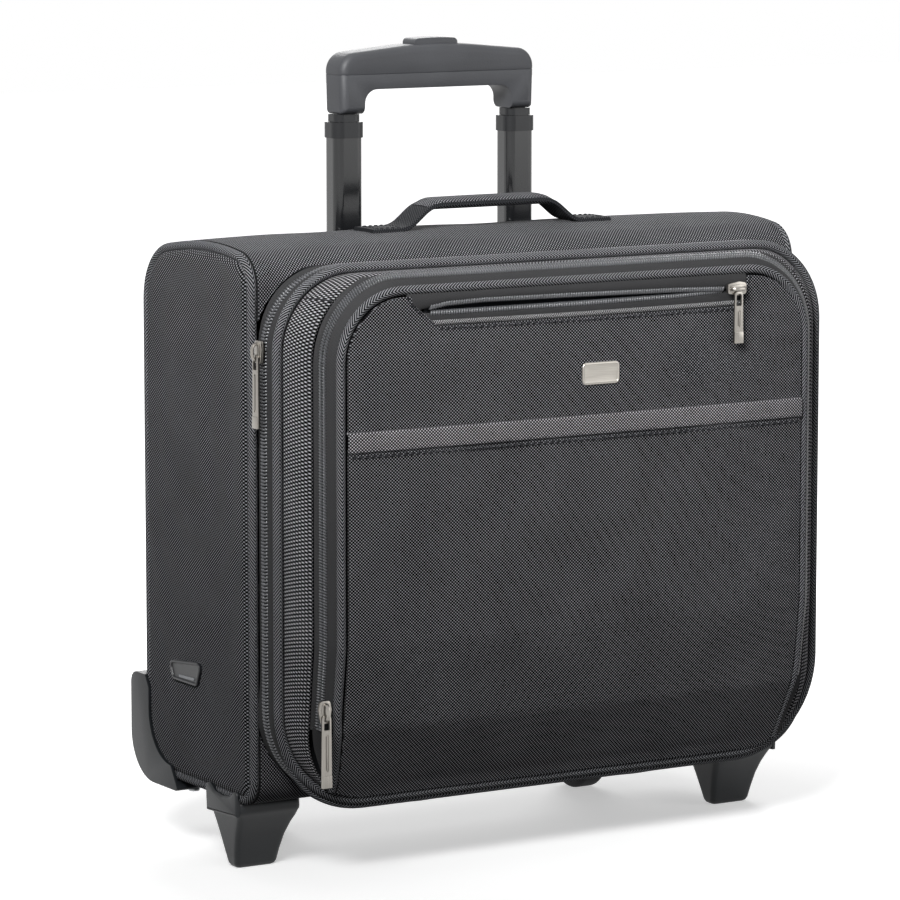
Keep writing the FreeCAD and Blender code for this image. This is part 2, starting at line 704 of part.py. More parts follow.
def handle_stages():
    """Three nested pairs of tubes with their collars, and the lock pins of the innermost pair."""
    outer_top = COLLAR_TOP - OUTER_CAP
    middle_top = MIDDLE_TOP - MIDDLE_CAP
    inner_top = GRIP_Z + GRIP_SOCKET
    save("outer_tubes", hollow_tubes(STAGES[0], STAGE_WALL[0], outer_top - OUTER_TUBE, outer_top))
    save("outer_collars", collar(STAGES[0], STAGES[1], COLLAR_BASE, COLLAR_TOP, outer_top))
    save("middle_tubes", hollow_tubes(STAGES[1], STAGE_WALL[1], middle_top - MIDDLE_TUBE, middle_top))
    base = COLLAR_TOP + CLEAR
    save("middle_collars", collar(STAGES[1], STAGES[2], base, MIDDLE_TOP, middle_top))
    inner_low = inner_top - INNER_TUBE
    pin_z = inner_low + PIN_RISE
    inner = hollow_tubes(STAGES[2], STAGE_WALL[2], inner_low, inner_top)
    half = STAGES[2][0] / 2
    holes = []
    for sign in (-1, 1):
        start = Vector(sign * (LEG_X + half + 1), HANDLE_Y, pin_z)
        holes.append(cylinder(PIN_RADIUS + RUNNING_FIT, 6.0, start, Vector(-sign, 0, 0)))
    save("inner_tubes", [inner[0].cut(holes[0]), inner[1].cut(holes[1])])
    for name, sign in (("lock_pin_left", -1), ("lock_pin_right", 1)):
        start = Vector(sign * (LEG_X + half), HANDLE_Y, pin_z)
        save(name, [cylinder(PIN_RADIUS, PIN_LENGTH, start, Vector(-sign, 0, 0))])
    return pin_z


def grip(pin_z):
    """The grip in two shells, with the release button, its crossbar, rods and spring."""
    top = GRIP_Z + GRIP_HEIGHT
    under = top - GRIP_BAR
    front = HANDLE_Y - GRIP_DEPTH / 2
    outline = [
        (-GRIP_HALF + 1.0, GRIP_Z, 2.0),
        (GRIP_HALF - 1.0, GRIP_Z, 2.0),
        (GRIP_HALF, top - GRIP_SHOULDER, GRIP_CORNER),
        (0, top + GRIP_CROWN, 300.0),
        (-GRIP_HALF, top - GRIP_SHOULDER, GRIP_CORNER),
    ]
    solid = front_slab(outline, front, front + GRIP_DEPTH)
    solid = solid.makeFillet(GRIP_EDGE, [edge for edge in solid.Edges if long_edge(edge, front)])
    inner = GRIP_HALF - GRIP_LEG
    gap = front_slab(
        [
            (-inner, GRIP_Z - 20, 1.0),
            (inner, GRIP_Z - 20, 1.0),
            (inner, under, GRIP_INNER_CORNER),
            (-inner, under, GRIP_INNER_CORNER),
        ],
        front - 5, front + GRIP_DEPTH + 5,
    )
    solid = solid.cut(gap)
    split = top - GRIP_SPLIT
    lower = solid.common(block(-100, 100, front - 1, front + 40, GRIP_Z - 5, split))
    upper = solid.common(block(-100, 100, front - 1, front + 40, split, top + 5))
    bar_z = split + BUTTON_TRAVEL + CLEAR
    bar_top = bar_z + CROSSBAR_HEIGHT
    flange_z = bar_top + CLEAR
    for x in (-LEG_X, LEG_X):
        lower = lower.cut(tube_block(STAGES[2], x, GRIP_Z - 1, GRIP_Z + GRIP_SOCKET + CLEAR, RUNNING_FIT))
        hole = cylinder(ROD_RADIUS + CLEAR, 40.0, Vector(x, HANDLE_Y, GRIP_Z), Vector(0, 0, 1))
        lower = lower.cut(hole)
    save("grip_lower_shell", [lower])
    half_bar = LEG_X + ROD_RADIUS + 1.0
    bar_room = CROSSBAR_DEPTH / 2 + 1.0
    upper = upper.cut(block(
        -half_bar - 1, half_bar + 1, HANDLE_Y - bar_room, HANDLE_Y + bar_room, split - 1, flange_z,
    ))
    half_d = BUTTON_DEPTH / 2
    flange = BUTTON_HALF + BUTTON_LIP
    lip_room = half_d + BUTTON_LIP_DEPTH + 0.5
    upper = upper.cut(block(
        -flange - 1, flange + 1, HANDLE_Y - lip_room, HANDLE_Y + lip_room,
        split - 1, flange_z + BUTTON_LIP_HEIGHT + CLEAR,
    ))
    shaft = block(
        -BUTTON_HALF - CLEAR, BUTTON_HALF + CLEAR, HANDLE_Y - half_d - CLEAR, HANDLE_Y + half_d + CLEAR,
        split, top + 20,
    )
    save("grip_upper_shell", [upper.cut(shaft)])
    cap_outline = [
        (-BUTTON_HALF, flange_z, 0.5),
        (BUTTON_HALF, flange_z, 0.5),
        (BUTTON_HALF, top + BUTTON_PROUD - 1.0, 3.0),
        (0, top + BUTTON_PROUD, 200.0),
        (-BUTTON_HALF, top + BUTTON_PROUD - 1.0, 3.0),
    ]
    cap = front_slab(cap_outline, HANDLE_Y - half_d, HANDLE_Y + half_d)
    lip_d = half_d + BUTTON_LIP_DEPTH
    skirt = block(
        -flange, flange, HANDLE_Y - lip_d, HANDLE_Y + lip_d, flange_z, flange_z + BUTTON_LIP_HEIGHT,
    )
    save("release_button", [cap.fuse(skirt)])
    half_deep = CROSSBAR_DEPTH / 2
    bar = block(-half_bar, half_bar, HANDLE_Y - half_deep, HANDLE_Y + half_deep, bar_z, bar_top)
    rod_z = pin_z + PIN_RADIUS + BUTTON_TRAVEL + 1.0
    for x in (-LEG_X, LEG_X):
        bar = bar.fuse(cylinder(ROD_RADIUS, bar_z - rod_z, Vector(x, HANDLE_Y, rod_z), Vector(0, 0, 1)))
    save("release_rods", [bar])
    spring = cylinder(SPRING_RADIUS, BUTTON_TRAVEL, Vector(0, HANDLE_Y, split + CLEAR / 2), Vector(0, 0, 1))
    hollow = SPRING_RADIUS - SPRING_WIRE
    bore = cylinder(hollow, BUTTON_TRAVEL + 2, Vector(0, HANDLE_Y, split - 1), Vector(0, 0, 1))
    save("button_spring", [spring.cut(bore)])


def long_edge(edge, front):
    """The outer edges of the grip's front and back faces, apart from those at the leg ends."""
    centre = edge.CenterOfMass
    on_face = abs(centre.y - front) < 0.01 or abs(centre.y - front - GRIP_DEPTH) < 0.01
    return on_face and centre.z > GRIP_Z + 5.0


def housing_outline():
    low = BOTTOM - GUARD_DROP
    high = BOTTOM + GUARD_HEIGHT
    return [
        (BACK - GUARD_REACH, low, 1.5),
        (BACK + GUARD_WALL, low, 2 * GUARD_WALL),
        (BACK + GUARD_WALL, high, GUARD_WALL / 2),
        (BACK - 4.0, high, 1.0),
    ]


def wheel_housings():
    """Moulded corner guards that hold the wheels, with their axles, hubs and tyres."""
    outline = housing_outline()
    low = BOTTOM - GUARD_DROP
    edge = SIDE + CLEAR
    shell = side_slab(outline, GUARD_INNER_X, edge)
    cheek_outline = [
        (WHEEL_Y - 11.0, WHEEL_RADIUS - 11.0, 9.0),
        (WHEEL_Y + 11.0, WHEEL_RADIUS - 11.0, 9.0),
        (WHEEL_Y + 18.0, low + 3, 1.0),
        (WHEEL_Y - 22.0, low + 3, 1.0),
    ]
    inner_x = WHEEL_X - WHEEL_WIDTH / 2 - WHEEL_GAP
    outer_x = WHEEL_X + WHEEL_WIDTH / 2 + WHEEL_GAP
    for x0 in (inner_x - CHEEK, outer_x):
        shell = shell.fuse(side_slab(cheek_outline, x0, x0 + CHEEK))
    shell = shell.cut(side_slab(inset(SIDE_OUTLINE, -CLEAR), GUARD_INNER_X - 5, SIDE + 5))
    flange = side_slab(outline, edge, edge + GUARD_FLANGE)
    flange = flange.cut(side_slab(inset(SIDE_OUTLINE, GUARD_OVERLAP), edge - 1, edge + 5))
    shell = shell.fuse(flange)
    well = cylinder(
        WHEEL_RADIUS + WHEEL_GAP, outer_x - inner_x, Vector(inner_x, WHEEL_Y, WHEEL_RADIUS), Vector(1, 0, 0),
    )
    shell = shell.cut(well)
    axle_start = Vector(inner_x - CHEEK - 1.5, WHEEL_Y, WHEEL_RADIUS)
    axle_length = outer_x - inner_x + 2 * CHEEK + 3.0
    bore = cylinder(AXLE_RADIUS + 0.05, axle_length, axle_start, Vector(1, 0, 0))
    shell = shell.cut(bore)
    for hole in screw_holes(low - 1, BOTTOM):
        shell = shell.cut(hole)
    save("wheel_housing_right", [shell])
    save("wheel_housing_left", [mirrored(shell)])
    axle = cylinder(AXLE_RADIUS, axle_length, axle_start, Vector(1, 0, 0))
    for x in (axle_start.x, axle_start.x + axle_length - 1.4):
        axle = axle.fuse(cylinder(AXLE_RADIUS + 1.5, 1.4, Vector(x, WHEEL_Y, WHEEL_RADIUS), Vector(1, 0, 0)))
    save("wheel_axles", both(axle))
    start = Vector(WHEEL_X - WHEEL_WIDTH / 2, WHEEL_Y, WHEEL_RADIUS)
    tyre = cylinder(WHEEL_RADIUS, WHEEL_WIDTH, start, Vector(1, 0, 0))
    tyre = tyre.makeFillet(4.0, [edge for edge in tyre.Edges if edge.Closed])
    tyre = tyre.cut(cylinder(HUB_RADIUS, WHEEL_WIDTH, start, Vector(1, 0, 0)))
    hub = cylinder(HUB_RADIUS - 0.05, WHEEL_WIDTH - 1.0, start + Vector(0.5, 0, 0), Vector(1, 0, 0))
    for x in (start.x - 1.0, start.x + WHEEL_WIDTH - 3.0):
        disc = cylinder(HUB_RADIUS - 3.0, 4.0, Vector(x, WHEEL_Y, WHEEL_RADIUS), Vector(1, 0, 0))
        boss = cylinder(AXLE_RADIUS + 3.5, 4.0, Vector(x, WHEEL_Y, WHEEL_RADIUS), Vector(1, 0, 0))
        hub = hub.cut(disc.cut(boss))
    bore_start = start - Vector(1, 0, 0)
    hub = hub.cut(cylinder(AXLE_RADIUS + RUNNING_FIT, WHEEL_WIDTH + 2, bore_start, Vector(1, 0, 0)))
    for name, part in (("wheel_hub", hub), ("tyre", tyre)):
        save(name + "_right", [part])
        save(name + "_left", [mirrored(part)])


def front_feet():
    """The two front feet: a flange under the bag, a lip up its side and a tapered leg."""
    top_z = BOTTOM - CLEAR
    flange_z = top_z - FOOT_FLANGE
    y_front = FRONT + FOOT_FRONT_Y
    y_rear = FRONT + FOOT_REAR_Y
    edge = SIDE + CLEAR
    flange = block(FOOT_INNER_X, edge + GUARD_FLANGE, y_front, y_rear, flange_z, top_z)
    lip_outline = [
        (y_front, flange_z, 1.0),
        (y_rear, flange_z, 1.0),
        (y_rear - 6.0, BOTTOM + 8.0, 3.0),
        (y_front + 8.0, BOTTOM + 8.0, 3.0),
    ]
    lip = side_slab(lip_outline, edge, edge + GUARD_FLANGE)
    rounding = side_slab(inset(SIDE_OUTLINE, -CLEAR), FOOT_INNER_X - 5, edge)
    leg_top = rectangle(FOOT_INNER_X + 1.5, SIDE - 2.0, FRONT + 23.0, y_rear - 1.0, 4.0)
    leg_low = rectangle(FOOT_INNER_X + 6.0, SIDE - 7.0, FRONT + 35.0, y_rear + 2.0, 3.0)
    wires = []
    for outline, z in ((leg_top, flange_z + 1.0), (leg_low, 1.2), (inset(leg_low, 1.2), 0.0)):
        wires.append(rounded_wire([(Vector(x, y, z), radius) for x, y, radius in outline]))
    leg = Part.makeLoft(wires[:2], True, True).fuse(Part.makeLoft(wires[1:], True, True))
    foot = flange.fuse(lip).fuse(leg).cut(rounding)
    for hole in screw_holes(flange_z - 1, BOTTOM):
        foot = foot.cut(hole)
    save("front_foot_right", [foot])
    save("front_foot_left", [mirrored(foot)])
    screws = []
    head_z = BOTTOM - GUARD_DROP - SCREW_HEAD
    for x, y in screw_places():
        length = BOTTOM + PANEL + BOARD - head_z
        shank = cylinder(SCREW_RADIUS, length, Vector(x, y, head_z), Vector(0, 0, 1))
        head = cylinder(SCREW_HEAD_RADIUS, SCREW_HEAD, Vector(x, y, head_z), Vector(0, 0, 1))
        screws.append(shank.fuse(head))
    save("base_screws", screws)


def trims():
    """The carry handle on top and the bare label on the left side."""
    crown_y = FRONT + CROWN_FROM_FRONT
    crown_z = TOP - CROWN_DROP
    front = crown_y - CARRY_WIDTH / 2
    half = CARRY_HALF
    right_side = [
        (half - 16.0, CARRY_RISE, 14.0),
        (half, CARRY_PAD, 14.0),
        (half + CARRY_TAIL, CARRY_PAD, 0),
        (half + CARRY_TAIL, 0, 0),
        (half + 2.0, 0, 10.0),
        (half - 18.0, CARRY_RISE - CARRY_THICKNESS, 10.0),
    ]
    left_side = [(-x, z, radius) for x, z, radius in reversed(right_side)]
    corners = [(Vector(x, front, crown_z + z), radius) for x, z, radius in right_side + left_side]
    arch = Part.Face(rounded_wire(corners)).extrude(Vector(0, CARRY_WIDTH, 0))
    save("carry_handle", [arch])
    label = [
        (BACK - 74.5, BOTTOM + 65.5, LABEL_CORNER),
        (BACK - 42.5, BOTTOM + 65.5, LABEL_CORNER),
        (BACK - 37.3, BOTTOM + 77.0, LABEL_CORNER),
        (BACK - 81.4, BOTTOM + 81.4, LABEL_CORNER),
    ]
    face = -SIDE + PANEL_INSET
    save("side_label", [side_slab(label, face - LABEL_THICKNESS, face)])


def main():
    body_panels()
    boards()
    main_zip()
    lid()
    pocket_z = organiser()
    zip_pieces(pocket_z)
    handle_fixed()
    pin_z = handle_stages()
    grip(pin_z)
    wheel_housings()
    front_feet()
    trims()


main()
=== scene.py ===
import math

import bpy
import numpy as np
from mathutils import Matrix, Vector, noise


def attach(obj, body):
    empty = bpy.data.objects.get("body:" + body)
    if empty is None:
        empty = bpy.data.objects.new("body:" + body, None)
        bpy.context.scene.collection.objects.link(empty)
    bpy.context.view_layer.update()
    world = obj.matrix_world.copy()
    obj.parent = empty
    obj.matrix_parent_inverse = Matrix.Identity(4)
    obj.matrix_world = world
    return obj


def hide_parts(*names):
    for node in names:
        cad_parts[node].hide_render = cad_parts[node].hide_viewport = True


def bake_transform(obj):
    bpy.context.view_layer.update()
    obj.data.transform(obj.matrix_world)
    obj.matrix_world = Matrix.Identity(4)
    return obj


bl_info = {
    "name": "Rolling laptop case",
    "version": (1, 0, 0),
    "blender": (4, 5, 0),
    "location": "View3D > Sidebar > Case",
    "description": "Soft covers, zips, trims, finishes and studio for the rolling laptop case",
    "category": "Object",
}

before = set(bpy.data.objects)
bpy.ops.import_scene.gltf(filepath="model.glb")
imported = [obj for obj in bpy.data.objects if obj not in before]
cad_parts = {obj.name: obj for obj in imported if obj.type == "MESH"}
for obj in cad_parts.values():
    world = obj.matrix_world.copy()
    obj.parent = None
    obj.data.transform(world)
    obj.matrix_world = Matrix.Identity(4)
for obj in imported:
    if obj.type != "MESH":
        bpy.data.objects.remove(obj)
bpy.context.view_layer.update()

# Everything below is in millimetres until a mesh is made. X right, front towards -Y, Z up.
MM = 0.001

# The body: half its width, its front and back, its underside and top.
SIDE = 200.0
FRONT = -45.25
BACK = 96.75
BOTTOM = 45.02
TOP = 391.02

# The lid: depth of its rim, of the main zip, of that zip's chain and of the flap, and the rim's ends.
RING_Y = -73.25
ZIP_Y = -60.25
CHAIN_Y = ZIP_Y + 3.2
FLAP_Y = -103.25
RING_BOTTOM = BOTTOM + 2.0
RING_TOP = TOP - 11.0

# The flap: half its width, its top, where it begins to lean back, its hinge line, and the pale band on it.
FLAP_HALF = 168.0
FLAP_TOP = 364.02
KNEE_Z = 150.02
FLAP_LOW = 98.02
BAND_Z = 269.02
BAND_HEIGHT = 12.6

# Half the length of the lid's cloth hinge, the height of the main sliders, and the radius of the piping.
HINGE_HALF = 138.0
SLIDER_Z = 328.0
PIPING = 3.0

# The side covers start this far in from the outline, under the binding, and lie this far out.
SIDE_EDGE = 4.6
SIDE_FACE = 196.2
WRAP_HALF = 194.2

# Seams of the wrap: this far up the back, and this far in from the back on top.
BACK_SEAM = 47.0
TOP_SEAM = 40.0

# The main zip opens fully over this length of chain, beyond its sliders.
ZIP_OPENING = 46.0

# The front panel's foam: half its width, its middle height and half its height.
FOAM_HALF = 166.0
FOAM_MIDDLE = 212.0
FOAM_TALL = 152.0

SIDES = ((-1, "left"), (1, "right"))

# Cloth thicknesses, and how much finer the small zips' teeth are than the main zip's.
SIDE_CLOTH = 2.0
WRAP_CLOTH = 2.6
FRONT_CLOTH = 2.4
LID_CLOTH = 1.6
STRIP_CLOTH = 1.2
MAIN_TAPE = 0.9
FINE_TAPE = 0.8
FINE_ZIP = 0.85

# Opening for the telescopic handle in the top and back covers: left, right, front, rear, bottom and top.
HANDLE_HOLE = (-84.2, 84.2, 62.3, 110.0, 345.0, 420.0)

# Outlines as (across, up, corner radius): the body from the side, the rim and the flap from the front.
SIDE_OUTLINE = (
    (FRONT, BOTTOM, 16.0),
    (BACK, BOTTOM, 40.0),
    (BACK, TOP - 11.5, 38.0),
    (FRONT + 57.0, TOP, 250.0),
    (FRONT, TOP - 8.0, 22.0),
)
RING_OUTLINE = (
    (-SIDE, RING_BOTTOM, 62.0),
    (SIDE, RING_BOTTOM, 62.0),
    (SIDE, RING_TOP, 52.0),
    (-SIDE, RING_TOP, 52.0),
)
FLAP_OUTLINE = (
    (-FLAP_HALF, RING_BOTTOM + 5.0, 42.0),
    (FLAP_HALF, RING_BOTTOM + 5.0, 42.0),
    (FLAP_HALF, FLAP_TOP, 42.0),
    (-FLAP_HALF, FLAP_TOP, 42.0),
)


# ---------------------------------------------------------------- outlines


def inset(outline, distance):
    """A convex outline of (u, v, radius) corners moved inwards by a distance."""
    lines = []
    for index, (u0, v0, _) in enumerate(outline):
        u1, v1, _ = outline[(index + 1) % len(outline)]
        length = math.hypot(u1 - u0, v1 - v0)
        du, dv = (u1 - u0) / length, (v1 - v0) / length
        lines.append((u0 - dv * distance, v0 + du * distance, du, dv))
    result = []
    for index, (_, _, radius) in enumerate(outline):
        u0, v0, du0, dv0 = lines[index - 1]
        u1, v1, du1, dv1 = lines[index]
        cross = du0 * dv1 - dv0 * du1
        along = ((u1 - u0) * dv1 - (v1 - v0) * du1) / cross
        result.append((u0 + du0 * along, v0 + dv0 * along, max(radius - distance, 0.5)))
    return result


def rounded(outline, closed=True, arc_parts=14, run_parts=24):
    """Points round an outline, the same number on every arc and on every run."""
    count = len(outline)
    points = []
    ends = []
    for index, (u, v, radius) in enumerate(outline):
        here = Vector((u, v))
        if not closed and index in (0, count - 1) or radius <= 0:
            ends.append(([here], here, here))
            continue
        before = (Vector(outline[index - 1][:2]) - here).normalized()
        after = (Vector(outline[(index + 1) % count][:2]) - here).normalized()
        half = before.angle(after) / 2
        centre = here + (before + after).normalized() * (radius / math.sin(half))
        reach = radius / math.tan(half)
        start, end = here + before * reach, here + after * reach
        first, last = start - centre, end - centre
        turn = first.angle_signed(last)
        arc = []
        for step in range(arc_parts + 1):
            angle = -turn * step / arc_parts
            cos, sin = math.cos(angle), math.sin(angle)
            arc.append(centre + Vector((first.x * cos - first.y * sin, first.x * sin + first.y * cos)))
        ends.append((arc, start, end))
    for index in range(count):
        arc, start, end = ends[index]
        points.extend(arc)
        if index < count - 1 or closed:
            following = ends[(index + 1) % count][1]
            for step in range(1, run_parts):
                points.append(end.lerp(following, step / run_parts))
    return np.array([tuple(point) for point in points])


def travel(line):
    """Distance along a line of points, at each of them."""
    return np.concatenate([[0], np.cumsum(np.linalg.norm(np.diff(line, axis=0), axis=1))])


def point_at(line, places):
    """Points at distances along a line."""
    lengths = travel(line)
    return np.stack([np.interp(places, lengths, axis) for axis in line.T], axis=-1)


def unit(vectors):
    """Vectors made one long."""
    return vectors / np.maximum(np.linalg.norm(vectors, axis=-1, keepdims=True), 1e-9)


def spread(half, count):
    """Places from one side to the other, closer together near the edges."""
    return half * np.sin(np.linspace(-math.pi / 2, math.pi / 2, count))


def from_bottom(points):
    """The same closed ring of points, beginning at its bottom middle."""
    return np.roll(points, -int(np.argmin(np.abs(points[:, 0]) + 10 * (points[:, 1] > 200))), axis=0)


def at_depth(points, y):
    """Points of an (x, z) outline at one depth, or each at its own."""
    return np.column_stack([points[:, 0], np.broadcast_to(y, len(points)), points[:, 1]])


def even(points, step, closed):
    """The same line with points a step apart."""
    line = np.vstack([points, points[:1]]) if closed else points
    length = travel(line)[-1]
    count = max(int(round(length / step)), 2)
    places = np.linspace(0, length, count + 1)
    return point_at(line, places[:-1] if closed else places)


def tangents(points, closed):
    """Unit directions along a line of points."""
    ahead = np.roll(points, -1, axis=0) - np.roll(points, 1, axis=0) if closed else np.gradient(points, axis=0)
    return unit(ahead)


def outward(points, closed):
    """Unit normals to the right of travel, which is outwards on a counter-clockwise outline."""
    tangent = tangents(points, closed)
    return np.stack([tangent[:, 1], -tangent[:, 0]], axis=1)


def smooth(value):
    """An even rise from 0 to 1 that starts and ends level."""
    value = np.clip(value, 0.0, 1.0)
    return value * value * (3 - 2 * value)


# ---------------------------------------------------------------- meshes


def deselect():
    """Leaves edit mode and deselects everything."""
    if bpy.context.object and bpy.context.object.mode != "OBJECT":
        bpy.ops.object.mode_set(mode="OBJECT")
    bpy.ops.object.select_all(action="DESELECT")


def pick(obj):
    """Selects one object and makes it the active one."""
    deselect()
    obj.select_set(True)
    bpy.context.view_layer.objects.active = obj


def finish_piece(obj, body, material, replaces=(), angle=40.0):
    """Gives a piece its material, smooth shading and body, and hides the CAD nodes it stands for."""
    obj.data.materials.clear()
    obj.data.materials.append(MATERIALS[material])
    pick(obj)
    bpy.ops.object.shade_smooth_by_angle(angle=math.radians(angle))
    if body:
        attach(obj, body)
    if replaces:
        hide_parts(*replaces)
    return obj


def new_mesh(name, vertices, faces, uvs=None):
    """A mesh object from points in mm, with its cloth map where it has one."""
    mesh = bpy.data.meshes.new(name)
    mesh.from_pydata([tuple(v) for v in np.asarray(vertices) * MM], [], [tuple(f) for f in faces])
    if uvs is not None:
        layer = mesh.uv_layers.new(name="cloth")
        layer.data.foreach_set("uv", (np.asarray(uvs, dtype=float) * MM).ravel())
    mesh.validate()
    obj = bpy.data.objects.new(name, mesh)
    bpy.context.scene.collection.objects.link(obj)
    return obj


def sheet(name, rows, closed_rows=False, closed_cols=False, flip=False, uv=None):
    """A mesh over rows of points, with a UV map in real millimetres along and across."""
    rows = np.asarray(rows, dtype=float)
    high, wide = rows.shape[:2]

    u, v = (travel(np.concatenate([line, line[:1]]) if closed else line)
            for line, closed in ((rows[:, wide // 2], closed_rows), (rows[high // 2], closed_cols)))
    faces, uvs = [], []
    for i in range(high if closed_rows else high - 1):
        for j in range(wide if closed_cols else wide - 1):
            i1, j1 = (i + 1) % high, (j + 1) % wide
            corners = [(i, j), (i1, j), (i1, j1), (i, j1)]
            places = [(i, j), (i + 1, j), (i + 1, j + 1), (i, j + 1)]
            if flip:
                corners.reverse()
                places.reverse()
            faces.append([a * wide + b for a, b in corners])
            if uv is None:
                uvs.extend([(u[a], v[b]) for a, b in places])
            else:
                uvs.extend([tuple(uv[a % high, b % wide]) for a, b in places])
    return new_mesh(name, rows.reshape(-1, 3), faces, uvs)


def modify(obj, kind, **settings):
    """Adds a modifier with its settings and applies it."""
    pick(obj)
    modifier = obj.modifiers.new(kind.title(), kind)
    for key, value in settings.items():
        setattr(modifier, key, value)
    bpy.ops.object.modifier_apply(modifier=modifier.name)
    return obj


def bevelled(obj, width, segments=2, angle=30):
    """Rounds over the edges that are sharper than an angle."""
    return modify(
        obj, "BEVEL", width=width * MM, segments=segments, limit_method="ANGLE", angle_limit=math.radians(angle))


def thicken(obj, thickness):
    """Gives a sheet its thickness, inwards."""
    return modify(obj, "SOLIDIFY", thickness=thickness * MM, offset=-1.0)


def cut(obj, cutter):
    """Cuts one closed piece out of another."""
    modify(obj, "BOOLEAN", object=cutter, operation="DIFFERENCE", solver="EXACT")
    bpy.data.objects.remove(cutter)
    return obj


def prism(points, low, high):
    """A closed prism over a ring of (x, z) points, from one depth to another."""
    count = len(points)
    vertices = [(x, low, z) for x, z in points] + [(x, high, z) for x, z in points]
    faces = [list(range(count)), list(range(2 * count - 1, count - 1, -1))]
    for i in range(count):
        j = (i + 1) % count
        faces.append([j, i, i + count, j + count])
    return outer_normals(new_mesh("cutter", vertices, faces))


def block(x0, x1, y0, y1, z0, z1):
    """A box between two corners."""
    return prism([(x0, z0), (x1, z0), (x1, z1), (x0, z1)], y0, y1)


def cord(name, path, radius, closed, up=(0, 1, 0), sides=12, flat=1.0):
    """A round or slightly flat cord along 3-D points."""
    path = np.asarray(path, dtype=float)
    tangent = tangents(path, closed)
    side = unit(np.cross(tangent, np.asarray(up, dtype=float)))
    other = np.cross(side, tangent)
    angles = np.linspace(0, 2 * math.pi, sides, endpoint=False)
    ring = side[:, None, :] * np.cos(angles)[None, :, None] * radius
    ring = ring + other[:, None, :] * np.sin(angles)[None, :, None] * radius * flat
    rows = path[:, None, :] + ring
    obj = sheet(name, rows, closed_rows=closed, closed_cols=True)
    return outer_normals(obj) if closed else close_ends(obj)


def close_ends(obj):
    """Fills a skin's open ends and turns its faces outwards."""
    pick(obj)
    bpy.ops.object.mode_set(mode="EDIT")
    bpy.ops.mesh.select_mode(type="EDGE")
    bpy.ops.mesh.select_all(action="DESELECT")
    bpy.ops.mesh.select_non_manifold()
    bpy.ops.mesh.edge_face_add()
    bpy.ops.object.mode_set(mode="OBJECT")
    return outer_normals(obj)


def outer_normals(obj):
    """Turns a closed skin's faces outwards."""
    pick(obj)
    bpy.ops.object.mode_set(mode="EDIT")
    bpy.ops.mesh.select_all(action="SELECT")
    bpy.ops.mesh.normals_make_consistent(inside=False)
    bpy.ops.object.mode_set(mode="OBJECT")
    return obj


def joined(name, parts):
    """Several objects made one."""
    deselect()
    for part in parts:
        part.select_set(True)
    bpy.context.view_layer.objects.active = parts[0]
    bpy.ops.object.join()
    parts[0].name = name
    parts[0].data.name = name
    return parts[0]


def rod(sides, radius, length, rotation=(0, 0, 0), location=(0, 0, 0)):
    """A plain bar to shape further, with its place and turn in its mesh."""
    deselect()
    bpy.ops.mesh.primitive_cylinder_add(
        vertices=sides, radius=radius * MM, depth=length * MM, rotation=rotation, location=Vector(location) * MM)
    bpy.ops.object.transform_apply(location=True, rotation=True, scale=True)
    return bpy.context.object


def flat_map(obj, first, second):
    """Gives a piece a cloth map straight from two axes of its points."""
    layer = obj.data.uv_layers.new(name="cloth")
    coords = np.array([tuple(obj.data.vertices[l.vertex_index].co) for l in obj.data.loops])
    layer.data.foreach_set("uv", coords[:, [first, second]].ravel())


def copies(name, model, places):
    """One mesh of many copies of a small model, each turned and placed by a 4 x 4 matrix in mm."""
    base = np.array([tuple(v.co) for v in model.data.vertices]) / MM
    polygons = [list(p.vertices) for p in model.data.polygons]
    vertices, faces = [], []
    for index, place in enumerate(places):
        place = np.asarray(place)
        vertices.append(base @ place[:3, :3].T + place[:3, 3])
        faces.extend([[v + index * len(base) for v in polygon] for polygon in polygons])
    bpy.data.objects.remove(model)
    return new_mesh(name, np.concatenate(vertices), faces)


def frame_at(point, x_axis, y_axis, z_axis):
    """A 4 x 4 matrix that places and turns a copy."""
    return np.vstack([np.column_stack([x_axis, y_axis, z_axis, point]), [0, 0, 0, 1]])


def ripple(points, amount, size, seed):
    """Soft random unevenness for a row of 3-D points, in mm."""
    shift = Vector((seed * 3.1, seed * 7.7, seed * 1.3))
    return np.array([noise.noise(Vector(p) / size + shift) * amount for p in points])


def crowned(name, outline, to_space, roll, crown, rough=0.0, seed=1, size=60.0, flip=False, parts=(71, 91)):
    """A sheet over a convex outline of (u, v) points: rolled down within roll = (height, width) of the edge
    and swollen by crown towards the middle."""
    fan = [(1 - np.cos(np.linspace(0, math.pi, count))) / 2 for count in parts]
    low, high = outline[:, 1].min(), outline[:, 1].max()
    first, last = outline, np.roll(outline, -1, axis=0)
    rows, flat = [], []
    for share in np.clip(fan[1], 1e-4, 1 - 1e-4):
        v = low + (high - low) * share
        hit = (first[:, 1] - v) * (last[:, 1] - v) <= 0
        rise = last[hit, 1] - first[hit, 1]
        way = np.clip((v - first[hit, 1]) / np.where(np.abs(rise) < 1e-9, 1e-9, rise), 0, 1)
        ends = first[hit, 0] + (last[hit, 0] - first[hit, 0]) * way
        u = ends.min() + (ends.max() - ends.min()) * fan[0]
        place = np.column_stack([u, np.full(len(u), v)])
        distance = np.linalg.norm(place[:, None, :] - outline[None], axis=2).min(axis=1)
        distance[[0, -1]] = 0
        swell = np.sqrt(np.sin(math.pi * fan[0]) * math.sin(math.pi * share))
        height = roll[0] * smooth(distance / roll[1]) + crown * swell
        height = height + ripple(np.column_stack([place, np.zeros(len(u))]), rough, size, seed) * smooth(distance / 25)
        rows.append(to_space(u, place[:, 1], height))
        flat.append(place)
    return sheet(name, np.array(rows), flip=flip, uv=np.array(flat))


# ---------------------------------------------------------------- materials

MATERIALS = {}


